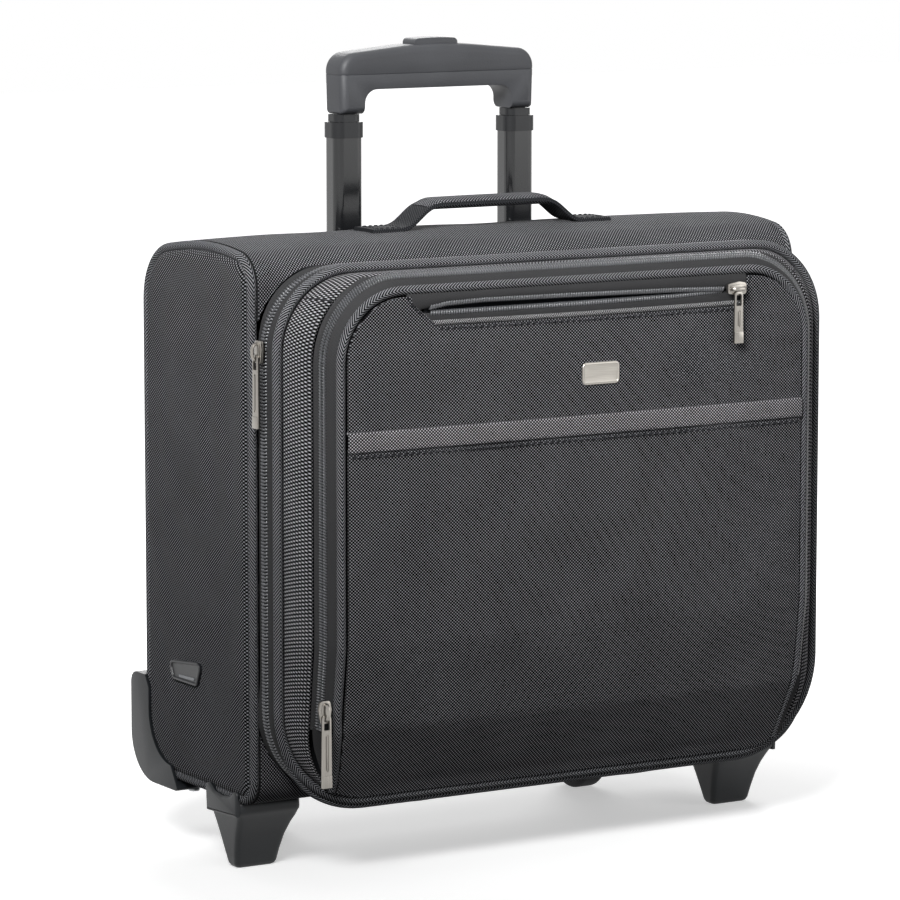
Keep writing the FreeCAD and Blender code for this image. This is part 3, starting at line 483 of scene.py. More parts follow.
def colour(code):
    """A #rrggbb sRGB code as linear RGBA."""
    parts = [int(code[i:i + 2], 16) / 255 for i in (1, 3, 5)]
    return tuple([c / 12.92 if c <= 0.04045 else ((c + 0.055) / 1.055) ** 2.4 for c in parts] + [1.0])


def add(tree, kind, *inputs, **settings):
    """Adds a node. Inputs fill its sockets in order, settings its named sockets and properties; sockets are linked."""
    node = tree.nodes.new("ShaderNode" + kind)
    for key, value in [*enumerate(inputs), *settings.items()]:
        socket = key if isinstance(key, int) else key.replace("_", " ")
        if isinstance(key, str) and socket not in node.inputs:
            setattr(node, key, value)
        elif isinstance(value, bpy.types.NodeSocket):
            tree.links.new(node.inputs[socket], value)
        else:
            node.inputs[socket].default_value = value
    return node


def start_material(name, **values):
    """A new material, with values on its shader's own sockets."""
    material = bpy.data.materials.new(name)
    material.use_nodes = True
    shader = material.node_tree.nodes["Principled BSDF"]
    for key, value in values.items():
        shader.inputs[key.replace("_", " ")].default_value = value
    MATERIALS[name] = material
    return material.node_tree, shader


def dress(tree, shader, tone, stops, height, depth, rise, gloss=None):
    """Joins a surface to its shader: its colours from tone, its bump from height, and its uneven gloss."""
    ramp = add(tree, "ValToRGB", tone)
    for element, (place, shade) in zip(ramp.color_ramp.elements, stops):
        element.position, element.color = place, shade
    tree.links.new(shader.inputs["Base Color"], ramp.outputs[0])
    bump = add(tree, "Bump", Strength=depth, Distance=rise * MM, Height=height)
    tree.links.new(shader.inputs["Normal"], bump.outputs[0])
    if gloss:
        tree.links.new(shader.inputs["Roughness"], gloss)


def shaded(code, factor):
    """A colour made darker or paler."""
    return tuple(min(part * factor, 1) for part in colour(code)[:3]) + (1.0,)


def woven(name, dark, light, pitch_u, pitch_v, depth=0.25, roughness=0.85, chevron=0.0, line=0.3):
    """Woven cloth: raised threads in a checker, or in slanted rows that meet in a chevron; its colour follows thread
    height, with painted shade in the gaps and a painted highlight on the crests.
    """
    tree, shader = start_material(
        name, Roughness=roughness, Sheen_Weight=0.03, Sheen_Roughness=0.4, Specular_IOR_Level=0.03)
    cloth = add(tree, "UVMap", uv_map="cloth").outputs[0]
    along, across, _ = add(tree, "SeparateXYZ", cloth).outputs

    def wave(place, pitch):
        turns = add(tree, "Math", place, 2 * math.pi / MM / pitch, operation="MULTIPLY").outputs[0]
        return add(tree, "Math", turns, operation="SINE").outputs[0]

    if chevron:
        folded = add(tree, "Math", across, chevron * MM, operation="PINGPONG").outputs[0]
        threads = wave(add(tree, "Math", folded, 1.3, along, operation="MULTIPLY_ADD").outputs[0], pitch_u)
    else:
        threads = add(tree, "Math", wave(along, pitch_u), wave(across, pitch_v), operation="MULTIPLY").outputs[0]
    height = add(tree, "Math", threads, 0.5, 0.5, operation="MULTIPLY_ADD").outputs[0]
    # The tone rises with thread height: the gaps are painted dark as shade and the crests pale as a highlight.
    crest = add(tree, "Math", height, 1 / line, operation="POWER").outputs[0]
    # Slow cloudiness from handling and fine fibres vary the tone a little.
    cloudy = add(tree, "TexNoise", add(tree, "TexCoord").outputs["Object"], Scale=28.0, Detail=3.0).outputs[0]
    fibres = add(tree, "TexNoise", cloth, Scale=1400.0, Detail=2.0).outputs[0]
    fine = add(tree, "Math", fibres, 0.12, -0.11, operation="MULTIPLY_ADD").outputs[0]
    level = add(tree, "Math", cloudy, 0.1, fine, operation="MULTIPLY_ADD").outputs[0]
    tone = add(tree, "Math", crest, level, operation="ADD").outputs[0]
    dress(tree, shader, tone, ((0.05, colour(dark)), (0.9, colour(light))), height, depth, 0.4)


def moulded(name, base, grain, roughness, depth=0.25, specular=0.35):
    """Moulded plastic or rubber with a fine grain, in mm, and slightly uneven gloss."""
    tree, shader = start_material(name, Roughness=roughness, Specular_IOR_Level=specular)
    place = add(tree, "TexCoord").outputs["Object"]
    fine = add(tree, "TexNoise", place, Scale=1 / (grain * MM), Detail=3.0).outputs[0]
    broad = add(tree, "TexNoise", place, Scale=22.0, Detail=2.0).outputs[0]
    gloss = add(tree, "Math", fine, 0.1, roughness - 0.05, operation="MULTIPLY_ADD").outputs[0]
    dress(tree, shader, broad, ((0.35, shaded(base, 0.88)), (0.65, shaded(base, 1.12))), fine, depth, 0.15, gloss)
    return shader


def metal(name, base, roughness, scratch_axis, depth=0.08):
    """Metal with fine brushing along one axis."""
    tree, shader = start_material(name, Roughness=roughness, Metallic=1.0)
    stretch = [2600.0, 2600.0, 2600.0]
    stretch[scratch_axis] = 60.0
    place = add(tree, "Mapping", add(tree, "TexCoord").outputs["Object"], Scale=stretch).outputs[0]
    brushed = add(tree, "TexNoise", place, Scale=1.0, Detail=2.0).outputs[0]
    gloss = add(tree, "Math", brushed, 0.16, roughness - 0.08, operation="MULTIPLY_ADD").outputs[0]
    dress(tree, shader, brushed, ((0.3, shaded(base, 0.82)), (0.7, colour(base))), brushed, depth, 0.05, gloss)


def make_materials(finish):
    """Every finish on the case, named for what it is."""
    pitch = finish.weave_pitch / MM
    # Ballistic polyester, basket woven from pairs of thick threads: matt, with a dotted grain of painted highlights on
    # the thread tops and painted shade between them.
    woven("ballistic polyester", finish.cloth_gap_painted_shade, finish.cloth_crest_painted_highlight, pitch, pitch * 0.9)
    # The side panels' cloth, drawn a little coarser so that its threads show where it is seen aslant.
    woven("side ballistic polyester", finish.cloth_gap_painted_shade, finish.cloth_crest_painted_highlight, pitch * 1.2, pitch)
    # The same cloth in a lighter grey yarn, for the gusset and the accent band.
    woven("grey ballistic polyester", "#101011", "#c4c3c8", pitch * 1.05, pitch * 1.35)
    # The accent band: the gusset's grey cloth drawn paler, a painted highlight for the brighter light that falls on
    # it.
    woven("pale ballistic polyester", "#1f1f20", "#dddce1", pitch, pitch * 0.9)
    # Herringbone binding tape sewn round the piping cord; drawn at 2.2 mm so that its rows show. Its pale thread tops
    # are painted highlights.
    woven("herringbone binding", "#08090a", "#8b8c90", 2.2, 2.2, depth=0.5, chevron=4.7, line=0.45)
    # The binding's paler side, folded over the lip of the pocket.
    woven("pale herringbone binding", "#232324", "#9b9b9c", 2.0, 2.0, depth=0.5, chevron=6.0, line=0.6)
    # Smooth nylon zip tape: close satin weave with a faint rib.
    woven("satin zip tape", "#313132", "#505051", 0.9, 0.9, depth=0.1, roughness=0.7)
    # Lining: thin plain polyester taffeta.
    woven("taffeta lining", "#26272a", "#3d3e42", 0.8, 0.8, depth=0.12, roughness=0.65)
    # Handle webbing: ribbed polyester.
    woven("ribbed webbing", "#1a1b1d", "#4a4b4e", 1.6, 3.0, depth=0.5, roughness=0.7)
    # Bonded nylon sewing thread.
    woven("bonded thread", "#1b1c1e", "#525357", 0.6, 0.6, depth=0.2, roughness=0.5)
    # Polyester coil teeth: hard, smooth and slightly shiny, drawn a lighter grey than the black coil as a painted
    # highlight on their tops.
    moulded("nylon coil", "#4b4c4f", 2.0, 0.3, depth=0.05, specular=0.8)
    # Injection-moulded polypropylene with a spark-eroded grain.
    moulded("moulded guard plastic", "#16191c", 0.7, 0.42, depth=0.35)
    # Grip: ABS with a soft-touch pebble.
    moulded("soft-touch grip plastic", "#37383b", 0.9, 0.5, depth=0.8)
    # Collars: smooth black ABS.
    moulded("gloss collar plastic", "#17181a", 1.5, 0.25, depth=0.03)
    # Rubber label and tyres.
    moulded("moulded rubber", "#1a1b1e", 1.1, 0.34, depth=0.12)
    moulded("pale moulded rubber", "#85878b", 1.1, 0.5, depth=0.2)
    moulded("tyre rubber", "#1c1d1f", 0.8, 0.7, depth=0.3)
    # Pressed fibre board, seen only inside.
    moulded("fibre board", "#3b3835", 2.4, 0.85, depth=0.5)
    # Handle tubes: aluminium, anodised black, with a clear shine.
    tube = moulded("black anodised tube", "#0c0d0f", 3.0, 0.2, depth=0.02)
    tube.inputs["Coat Weight"].default_value = 0.6
    tube.inputs["Coat Roughness"].default_value = 0.12
    metal("extruded aluminium", "#9a9da0", 0.4, 2)
    metal("satin nickel", "#98948e", 0.3, 2)
    metal("brushed nickel badge", "#a8a49d", 0.32, 0, depth=0.15)
    metal("zinc steel", "#a7a9ab", 0.35, 0)


# The frame's own pieces that show as they are, under their finishes.
CAD_FINISH = {
    "fibre board": ("base_board", "back_board"),
    "extruded aluminium": ("handle_channels",),
    "moulded guard plastic": ("handle_tray", "handle_foot_bracket", "wheel_hub_left", "wheel_hub_right"),
    "tyre rubber": ("tyre_left", "tyre_right"),
    "black anodised tube": ("outer_tubes", "middle_tubes", "inner_tubes"),
    "gloss collar plastic": ("outer_collars", "middle_collars"),
    "soft-touch grip plastic": ("release_button",),
    "zinc steel": ("wheel_axles", "button_spring", "release_rods", "lock_pin_left", "lock_pin_right"),
}


# ---------------------------------------------------------------- shapes shared by the front pieces


def flap_plane(z):
    """Depth of the front panel at a height: it leans back below the knee and again below the flap."""
    return np.interp(z, [52.0, FLAP_LOW, KNEE_Z, 400.0], [-77.5, FLAP_Y + 7.0, FLAP_Y, FLAP_Y])


def front_bulge(x, z, amount):
    """How far the foam under the front panel stands proud."""
    across = 1 - np.abs(np.clip(x / FOAM_HALF, -1, 1)) ** 3.2
    up = 1 - np.abs(np.clip((z - FOAM_MIDDLE) / FOAM_TALL, -1, 1)) ** 3.6
    return amount * np.sqrt(np.maximum(across, 0)) * np.sqrt(np.maximum(up, 0))


def front_point(x, z, proud=0.0, bulge=3.2):
    """A point on the bulged front panel."""
    x, z = np.broadcast_arrays(np.asarray(x, float), np.asarray(z, float))
    knee = np.clip((KNEE_Z + 14 - z) / 28, 0, 1)
    y = flap_plane(z) + 0.9 * knee * (1 - knee)
    return np.stack([x, y - front_bulge(x, z, bulge) - proud, z], axis=-1)


def ring_points(distance, step):
    """Even points round the lid's rim at a distance in from its outline, from the bottom middle."""
    return even(from_bottom(even(rounded(inset(RING_OUTLINE, distance)), 1.0, True)), step, True)


def stitches(name, path, out, length, gap, radius, body, lean=0.0):
    """A row of stitches: short bent capsules along a line of points."""
    model = capsule(length, radius)
    points = even(np.asarray(path, float), length + gap, False)
    places = []
    for here, there in zip(points[:-1], points[1:]):
        along = unit(there - here)
        along = unit(along + np.cross(out, along) * lean)
        places.append(frame_at((here + there) / 2, along, np.cross(out, along), out))
    obj = copies(name, model, places)
    flat_map(obj, 0, 2)
    return finish_piece(obj, body, "bonded thread", angle=80)


def sliced(obj, places, axis):
    """Cuts rings of edges into a bar at places along one axis."""
    normal = Matrix.Identity(3)[axis]
    bpy.ops.object.mode_set(mode="EDIT")
    for place in places:
        bpy.ops.mesh.select_all(action="SELECT")
        bpy.ops.mesh.bisect(plane_co=normal * place * MM, plane_no=normal)
    bpy.ops.object.mode_set(mode="OBJECT")
    return obj


def capsule(length, radius):
    """A thread's visible stitch: a six-sided bar whose ends dip into the cloth."""
    obj = sliced(rod(6, radius, length, (0, math.pi / 2, 0)), (length * 0.28, -length * 0.28), 0)
    for vertex in obj.data.vertices:
        if abs(vertex.co.x) > length * 0.4 * MM:
            vertex.co.z -= radius * 0.9 * MM
            vertex.co.y *= 0.6
    return obj


def tooth(length, width, height):
    """One turn of the coil: a bar bent over the tape's edge, fatter at its locking head."""
    obj = sliced(rod(6, 0.5, length, (math.pi / 2, 0, 0)), (length * -0.3, 0.0, length * 0.3), 1)
    for vertex in obj.data.vertices:
        along = vertex.co.y / (length * MM)
        vertex.co.x *= width * (1.0 + 0.35 * max(along, 0) * 2)
        vertex.co.z *= height * (0.75 if abs(along) > 0.4 else 1.0)
        vertex.co.z -= (abs(along) * 2) ** 3 * 0.35 * height * MM
    return obj


def teeth_row(name, path, out, edge, pitch, start, body, lean=0.3, size=(3.4, 1.3, 1.7)):
    """A row of teeth along points; out and edge are unit vectors for every point, edge towards the other row."""
    lengths = travel(path)
    spots = np.arange(start, lengths[-1], pitch)
    points = point_at(path, spots)
    normals, towards = (
        np.stack([np.interp(spots, lengths, axis) for axis in field.T], axis=1) for field in (out, edge))
    places = []
    for point, normal, toward in zip(points, unit(normals), towards):
        toward = unit(toward - normal * toward.dot(normal))
        turned = unit(toward + np.cross(toward, normal) * lean)
        places.append(frame_at(point, np.cross(turned, normal), turned, normal))
    obj = copies(name, tooth(*size), places)
    return finish_piece(obj, body, "nylon coil", angle=60)


def softened(node, body, material, width, segments=2):
    """A merged copy of a hard CAD piece with its edges rounded over."""
    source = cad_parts[node]
    obj = source.copy()
    obj.data = source.data.copy()
    obj.name = node + "_softened"
    obj.parent = None
    obj.matrix_world = source.matrix_world.copy()
    bpy.context.scene.collection.objects.link(obj)
    pick(obj)
    bpy.ops.object.transform_apply(location=True, rotation=True, scale=True)
    bpy.ops.object.mode_set(mode="EDIT")
    bpy.ops.mesh.select_all(action="SELECT")
    bpy.ops.mesh.remove_doubles(threshold=0.002 * MM)
    bpy.ops.mesh.dissolve_limited(angle_limit=math.radians(0.5))
    bpy.ops.object.mode_set(mode="OBJECT")
    bevelled(obj, width, segments, 35)
    return finish_piece(obj, body, material, [node], angle=30)


# ---------------------------------------------------------------- settings


class CaseSizes(bpy.types.PropertyGroup):
    """Sizes of the soft pieces."""

    side_crown: bpy.props.FloatProperty(
        name="Side crown", description="How far the side panels swell", default=1.4 * MM, min=0, unit="LENGTH")
    front_crown: bpy.props.FloatProperty(
        name="Front crown", description="How far the front panel swells", default=3.2 * MM, min=0, unit="LENGTH")
    top_crown: bpy.props.FloatProperty(
        name="Top crown", description="How far the top and back swell", default=1.2 * MM, min=0, unit="LENGTH")
    tooth_pitch: bpy.props.FloatProperty(
        name="Tooth pitch", description="Distance between zip teeth", default=2.1 * MM, min=MM, unit="LENGTH")
    stitch: bpy.props.FloatProperty(
        name="Stitch", description="Length of one stitch", default=2.8 * MM, min=MM, unit="LENGTH")


class CaseFinish(bpy.types.PropertyGroup):
    """Colours and cloth of the case."""

    # The cloth's dark colour is painted shade between its threads, and its light colour a painted highlight on the
    # raised threads.
    cloth_gap_painted_shade: bpy.props.StringProperty(
        name="Cloth shade", description="sRGB hex of the cloth between threads", default="#060607")
    cloth_crest_painted_highlight: bpy.props.StringProperty(
        name="Cloth thread", description="sRGB hex of the raised threads", default="#a6a7ac")
    weave_pitch: bpy.props.FloatProperty(
        name="Weave pitch", description="Repeat of the basket weave", default=2.2 * MM, min=0.5 * MM, unit="LENGTH")


# ---------------------------------------------------------------- body


def build_side_panels(crown):
    """A taut padded cover on each side, rolled down to the binding."""
    points = even(rounded(inset(SIDE_OUTLINE, SIDE_EDGE)), 1.5, True)
    for sign, name in SIDES:
        def place(y, z, height, sign=sign):
            return np.column_stack([sign * (SIDE_FACE + height), y, z])

        obj = crowned("side_cover_" + name, points, place, (2.0, 5.0), crown, 0.9, 3 + sign, 70.0, sign < 0)
        thicken(obj, SIDE_CLOTH)
        finish_piece(obj, "root", "side ballistic polyester", ["side_panel_" + name])


def build_wrap(crown):
    """Top, back and bottom: cloth over foam, wrapped round the side outline and cut at the mouth."""
    path = even(rounded(SIDE_OUTLINE), 3.0, True)
    path = np.roll(path, -int(np.argmin(np.abs(path[:, 0] - FRONT) + np.abs(path[:, 1] - 218.0))), axis=0)
    normals = outward(path, True)
    low = int(np.argmin(np.abs(path[:, 0] - BACK) + np.abs(path[:, 1] - (BOTTOM + BACK_SEAM))))
    high = int(np.argmin(np.where(path[:, 1] > 300, np.abs(path[:, 0] - (BACK - TOP_SEAM)), 999)))
    xs = spread(WRAP_HALF, 61)
    mouth = even(rounded(inset(RING_OUTLINE, PIPING - 0.3)), 4.0, True)
    for name, first, last, swell in (("bottom", 0, low, 0.0), ("back", low, high, 1.0), ("top", high, len(path), 1.0)):
        picked = np.arange(first, last + 1) % len(path)
        rows = []
        for i, k in enumerate(picked):
            end = min(i, len(picked) - 1 - i) * 3.0
            tuck = -1.4 * (1 - smooth(end / 4.0)) if name != "top" or i < len(picked) / 2 else 0.0
            if name == "bottom":
                tuck = tuck if i > len(picked) / 2 else 0.0
            up = max(normals[k, 1], 0.6 * normals[k, 0], 0.0) * swell
            edge = 1 - (np.abs(xs) / WRAP_HALF) ** 6
            rise = crown * up * edge * (1 - 0.8 * (np.abs(xs) < 100) * (path[k, 0] > 45)) + tuck
            line = np.column_stack([xs, np.full((len(xs), 2), path[k])])
            rise = rise + ripple(line, 0.8, 55.0, 5) * up * edge
            line[:, 1] += normals[k, 0] * rise
            line[:, 2] += normals[k, 1] * rise
            rows.append(line)
        obj = sheet(name + "_cover", rows)
        thicken(obj, WRAP_CLOTH)
        if name != "back":
            cut(obj, prism(mouth, FRONT - 14.0, FRONT + 3.3))
        if name != "bottom":
            cut(obj, block(*HANDLE_HOLE))
        finish_piece(obj, "root", "ballistic polyester", [name + "_panel"])


def build_side_piping():
    """A piped cord round the edge of each side panel."""
    path = even(rounded(inset(SIDE_OUTLINE, PIPING)), 3.0, True)
    cords = []
    for sign in (-1, 1):
        line = np.column_stack([np.full(len(path), sign * (SIDE - PIPING)), path[:, 0], path[:, 1]])
        cords.append(cord("side_cord", line, PIPING, True, up=(1, 0, 0), sides=14))
    finish_piece(joined("side_binding", cords), "root", "herringbone binding", ["side_piping"])


def build_label():
    """A bare rubber label with a raised rim and a plain bar."""
    outline = ((22.25, 110.5, 4.0), (54.25, 110.5, 4.0), (59.45, 122.0, 4.0), (15.35, 126.4, 4.0))
    face = 201.5

    def layer(distance, proud):
        ring = rounded(inset(outline, distance), arc_parts=6, run_parts=6)
        return np.column_stack([np.full(len(ring), -(face + proud)), ring[:, 0], ring[:, 1]])

    rows = [layer(d, p) for d, p in (
        (0.0, -1.6), (0.0, 1.0), (0.4, 1.5), (1.3, 1.6), (1.8, 1.1), (2.0, 0.6), (2.5, 0.5), (4.4, 0.5))]
    obj = sheet("side_tag", rows, closed_cols=True)
    close_ends(obj)
    finish_piece(obj, "root", "moulded rubber", ["side_label"], angle=35)
    bar = ((26.0, 113.6, 0.6), (46.0, 113.0, 0.6), (46.0, 114.6, 0.6), (26.0, 115.2, 0.6))
    bar = prism(rounded(bar, arc_parts=3, run_parts=3), 0, 0.7)
    for vertex in bar.data.vertices:
        x, y, z = vertex.co
        vertex.co = (-(face + 0.3) * MM - y, x, z)
    outer_normals(bar)
    bar.name = "side_tag_bar"
    finish_piece(bar, "root", "pale moulded rubber", angle=35)


# ---------------------------------------------------------------- zips round the lid


def opened(points):
    """How far the main zip is parted: 1 over the top, 0 below the sliders."""
    z, x = points[:, 1], np.abs(points[:, 0])
    way = np.where(z < SLIDER_Z, 0.0, (z - SLIDER_Z) + np.where(z > RING_TOP - 6, (150 - np.minimum(x, 150)) * 0.6, 0))
    return smooth(way / ZIP_OPENING)


def build_main_zip(pitch):
    """Tape and teeth on the body and on the lid, parted over the top and closed below the sliders."""
    base = ring_points(PIPING, 2.4)
    base = base[(np.abs(base[:, 0]) >= HINGE_HALF) | (base[:, 1] >= RING_BOTTOM + 30)]
    normal = outward(base, False)
    gape = opened(base)
    slope = at_depth(normal, 0.0)
    for name, sign, shift, lift in (("body", 1, 3.4, -2.4), ("lid", -1, 3.6, 0.9)):
        far = FRONT + 0.6 if sign > 0 else RING_Y + 3.0
        edge_y = CHAIN_Y + sign * (0.7 + shift * gape)
        rows = []
        for part in np.linspace(0, 1, 9):
            y = far + (edge_y - far) * part
            sunk = 0.4 + 2.6 * smooth((base[:, 1] - 90.0) / 40.0) * (1 - gape)
            dip = -sunk * (1 - part ** 3) if sign > 0 else 0.5 * math.sin(part * math.pi) - 0.4
            out = dip + lift * gape * part ** 1.5
            rows.append(at_depth(base + normal * out[:, None], y))
        obj = sheet(name + "_tape", np.array(rows).transpose(1, 0, 2), flip=sign < 0)
        face_away(obj)
        thicken(obj, MAIN_TAPE)
        body = "root" if sign > 0 else "lid"
        finish_piece(obj, body, "satin zip tape", ["main_zip_%s_half" % name])
        line = rows[-1] + slope * 0.7
        line[:, 1] += sign * (0.9 - 0.3 * gape)
        away = np.tile([0.0, -float(sign), 0.0], (len(line), 1))
        tip = away + slope * (lift * gape * 0.35)[:, None]
        start = pitch * 0.5 if sign > 0 else 0.0
        teeth_row(name + "_teeth", line, slope, tip, pitch, start, body, lean=0.3 * sign)


def face_away(obj):
    """Turns a sheet so that its faces look away from the middle of the lid."""
    middle = Vector((0, 0, (RING_TOP + RING_BOTTOM) / 2 * MM))
    if sum(p.normal.dot((p.center - middle) * Vector((1, 0, 1))) for p in obj.data.polygons) < 0:
        obj.data.flip_normals()


def face_front(obj):
    """Turns a sheet so that its faces look to the front."""
    if sum(p.normal.y * p.area for p in obj.data.polygons) > 0:
        obj.data.flip_normals()


def build_hinge():
    """The strip of cloth along the bottom that joins the lid to the body."""
    front, rear = RING_Y + 1.5, FRONT + 5.0
    rows = []
    for x in np.linspace(-HINGE_HALF + 1, HINGE_HALF - 1, 70):
        line = []
        for part in np.linspace(0, 1, 12):
            y = rear + (front - rear) * part
            rough = 0.3 * noise.noise(Vector((x / 30, y / 9, 0)))
            line.append((x, y, RING_BOTTOM + 1.0 - 0.9 * math.sin(part * math.pi) + rough))
        rows.append(line)
    obj = thicken(sheet("hinge_cloth", rows, flip=True), STRIP_CLOTH)
    finish_piece(obj, None, "ballistic polyester", ["hinge_strip"], angle=50)
    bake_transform(obj)


# ---------------------------------------------------------------- lid


def gusset_front(z):
    """Depth of the gusset's front edge at a height."""
    return np.interp(z, [RING_BOTTOM, FLAP_LOW, KNEE_Z, 400.0], [-77.6, -86.6, -93.6, -93.6])


def build_gusset():
    """The padded strip between the rim and the flap, with a mitre seam at each top corner."""
    # Two outlines with as many points at matching places, so that a row runs from each point to its fellow.
    wide, narrow = (rounded(outline, arc_parts=18, run_parts=40) for outline in (
        inset(RING_OUTLINE, 6.3), inset(FLAP_OUTLINE, -9.5)))
    start = int(np.argmin(np.abs(wide[:, 0]) + 10 * (wide[:, 1] > 200)))
    wide, narrow = np.roll(wide, -start, axis=0), np.roll(narrow, -start, axis=0)
    narrow[:, 1] = np.maximum(narrow[:, 1], RING_BOTTOM + 7.0)
    normal = outward(wide, True)
    front = gusset_front(narrow[:, 1])
    rows = []
    # Share of the way to the flap, and how proud the padded cloth stands there.
    profile = [(0.0, -2.0), (0.02, 0.2), (0.12, 1.1), (0.3, 1.9), (0.5, 2.0),
               (0.65, 1.5), (0.73, 0.6), (0.75, -0.6), (0.73, -2.0)]
    corner = np.exp(-(np.abs(np.abs(wide[:, 0]) - (SIDE - 23.0)) / 2.2) ** 2) * (wide[:, 1] > 300)
    low = smooth((wide[:, 1] - 56.0) / 30.0)
    for part, proud in profile:
        y = RING_Y + (front - RING_Y) * part
        rise = proud - 0.5 * corner * (proud > 0.5)
        rise = np.where(proud > 0, rise * low, rise)
        rows.append(at_depth(wide + (narrow - wide) * part + normal * rise[:, None] * 0.75, y - rise * 0.65))
    obj = sheet("gusset_cover", np.array(rows).transpose(1, 0, 2), closed_rows=True)
    face_away(obj)
    thicken(obj, LID_CLOTH)
    finish_piece(obj, "lid", "grey ballistic polyester", ["lid_gusset"], angle=60)
    # Seam thread where the side and top pieces of the gusset meet at the upper corners.
    for sign, name in SIDES:
        start = int(np.argmin(np.hypot(wide[:, 0] - sign * (SIDE - 21.5), wide[:, 1] - (RING_TOP - 21.5))))
        line = np.array([rows[k][start] for k in range(2, 7)])
        line = even(line + np.array([sign * 0.1, -0.1, 0.1]), 1.5, False)
        seam = cord("mitre_seam_" + name, line, 0.45, False, sides=6)
        finish_piece(seam, "lid", "bonded thread")


def build_rim():
    """The lid's piped rim, and the cord under it along the bottom."""
    path = even(rounded(inset(RING_OUTLINE, PIPING)), 3.0, True)
    obj = cord("rim_binding", at_depth(path, RING_Y), PIPING, True, sides=14)
    finish_piece(obj, "lid", "herringbone binding", ["lid_rim_piping"])
    # A second cord under the rim binding, along the bottom and a little up the sides, lapped in two places.
    under = even(rounded(inset(RING_OUTLINE, -1.1)), 3.0, True)
    under = np.roll(under, -int(np.argmin(np.abs(under[:, 0]) + 10 * (under[:, 1] < 200))), axis=0)
    under = under[under[:, 1] < 84.0]
    middle = np.array([0.0, (RING_BOTTOM + RING_TOP) / 2])
    under = under + unit(middle - under) * (3.2 * smooth((under[:, 1] - 56.0) / 26.0))[:, None]
    overlap = np.exp(-((under[:, 0] - 62.0) / 9.0) ** 2) + 0.6 * np.exp(-((under[:, 0] + 96.0) / 5.0) ** 2)
    under[:, 1] -= 0.35 * overlap
    obj = cord("rim_under_binding", at_depth(under, RING_Y + 1.9), 1.9, False, sides=12)
    finish_piece(obj, "lid", "herringbone binding")


def build_lid_lining():
    """The lid's lining, seen when the case is open."""
    points = even(rounded(inset(RING_OUTLINE, 5.2)), 2.0, True)

    def place(x, z, height):
        return np.column_stack([x, RING_Y + 3.2 + height, z])

    obj = thicken(crowned("lid_lining", points, place, (2.2, 8.0), 1.2, 0.5, 9, 50.0), LID_CLOTH)
    outer_normals(obj)
    finish_piece(obj, "lid", "taffeta lining", ["lid_inner_panel"])


# ---------------------------------------------------------------- flap


# Edge of the cut in the upper cover where the pocket opens, as (x, z).
POCKET_EDGE = ((-123.0, 374.0), (-121.0, 357.0), (-105.5, 343.8), (117.5, 343.8), (121.4, 354.7), (124.0, 374.0))


def planar_uv(rows):
    """A cloth map straight from the front."""
    return np.stack([rows[:, :, 0], rows[:, :, 2]], axis=-1)


def build_upper(bulge):
    """The flap's upper cover, cut out for the pocket."""
    half, flat = FLAP_HALF - 2.8, 126.0
    xs = spread(half, 101)
    radius = half - flat
    top = FLAP_TOP - 2.8 - radius + np.sqrt(np.maximum(radius ** 2 - np.maximum(np.abs(xs) - flat, 0) ** 2, 0))
    low = BAND_Z + BAND_HEIGHT - 2.0
    rows = np.array([front_point(xs, low + (top - low) * part, bulge=bulge) for part in np.linspace(0, 1, 46)])
    obj = sheet("upper_cover", rows, uv=planar_uv(rows), flip=True)
    thicken(obj, FRONT_CLOTH)
    cut(obj, prism(np.array(POCKET_EDGE), FLAP_Y - 14.0, FLAP_Y + 8.0))
    finish_piece(obj, "flap", "ballistic polyester", ["flap_upper_panel"])


def lower_edge(x):
    """Bottom edge of the lower cover, just inside the rim binding."""
    over = np.maximum(np.abs(x) - 138.0, 0)
    return np.where(over > 0, 109.0 - np.sqrt(np.maximum(56.5 ** 2 - over ** 2, 0)), RING_BOTTOM + 5.4)


def build_lower(bulge):
    """One cloth from the band down over the hinge line of the flap to the rim."""
    rows = []
    for part in np.linspace(0, 1, 90):
        half = 165.2 - 4.5 * (1 - smooth((part * 212) / 55.0))
        xs = spread(half, 101)
        z = lower_edge(xs) + (BAND_Z + 2.0 - lower_edge(xs)) * part
        line = front_point(xs, z, bulge=bulge)
        line[:, 1] -= ripple(line, 0.7, 45.0, 11) * smooth((165 - np.abs(xs)) / 25)
        rows.append(line)
    rows = np.array(rows)
    obj = thicken(sheet("lower_cover", rows, uv=planar_uv(rows), flip=True), FRONT_CLOTH)
    finish_piece(obj, None, "ballistic polyester", ["flap_lower_panel", "lid_skirt_panel"])
    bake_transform(obj)


def build_band(bulge, stitch):
    """The pale band across the front, and the stitching below it."""
    half = FLAP_HALF - 2.6
    xs = np.linspace(-half, half, 101)
    profile = ((-0.3, -1.4), (0.1, 0.7), (0.8, 1.1), (2.5, 1.2), (6.3, 1.3),
               (10.1, 1.2), (11.8, 1.1), (12.5, 0.7), (12.9, -1.4))
    rows = np.array([front_point(xs, BAND_Z + z, proud, bulge) for z, proud in profile])
    obj = sheet("accent_strip", rows, uv=planar_uv(rows) + np.array([0.0, 0.7]), flip=True)
    thicken(obj, STRIP_CLOTH)
    finish_piece(obj, "flap", "pale ballistic polyester", ["accent_band"], angle=60)
    line = front_point(np.linspace(-half + 2, half - 2, 140), BAND_Z - 2.6, 0.35, bulge)
    stitches("band_stitching", line, (0, -1, 0), stitch, 1.5, 0.7, "flap", lean=0.45)


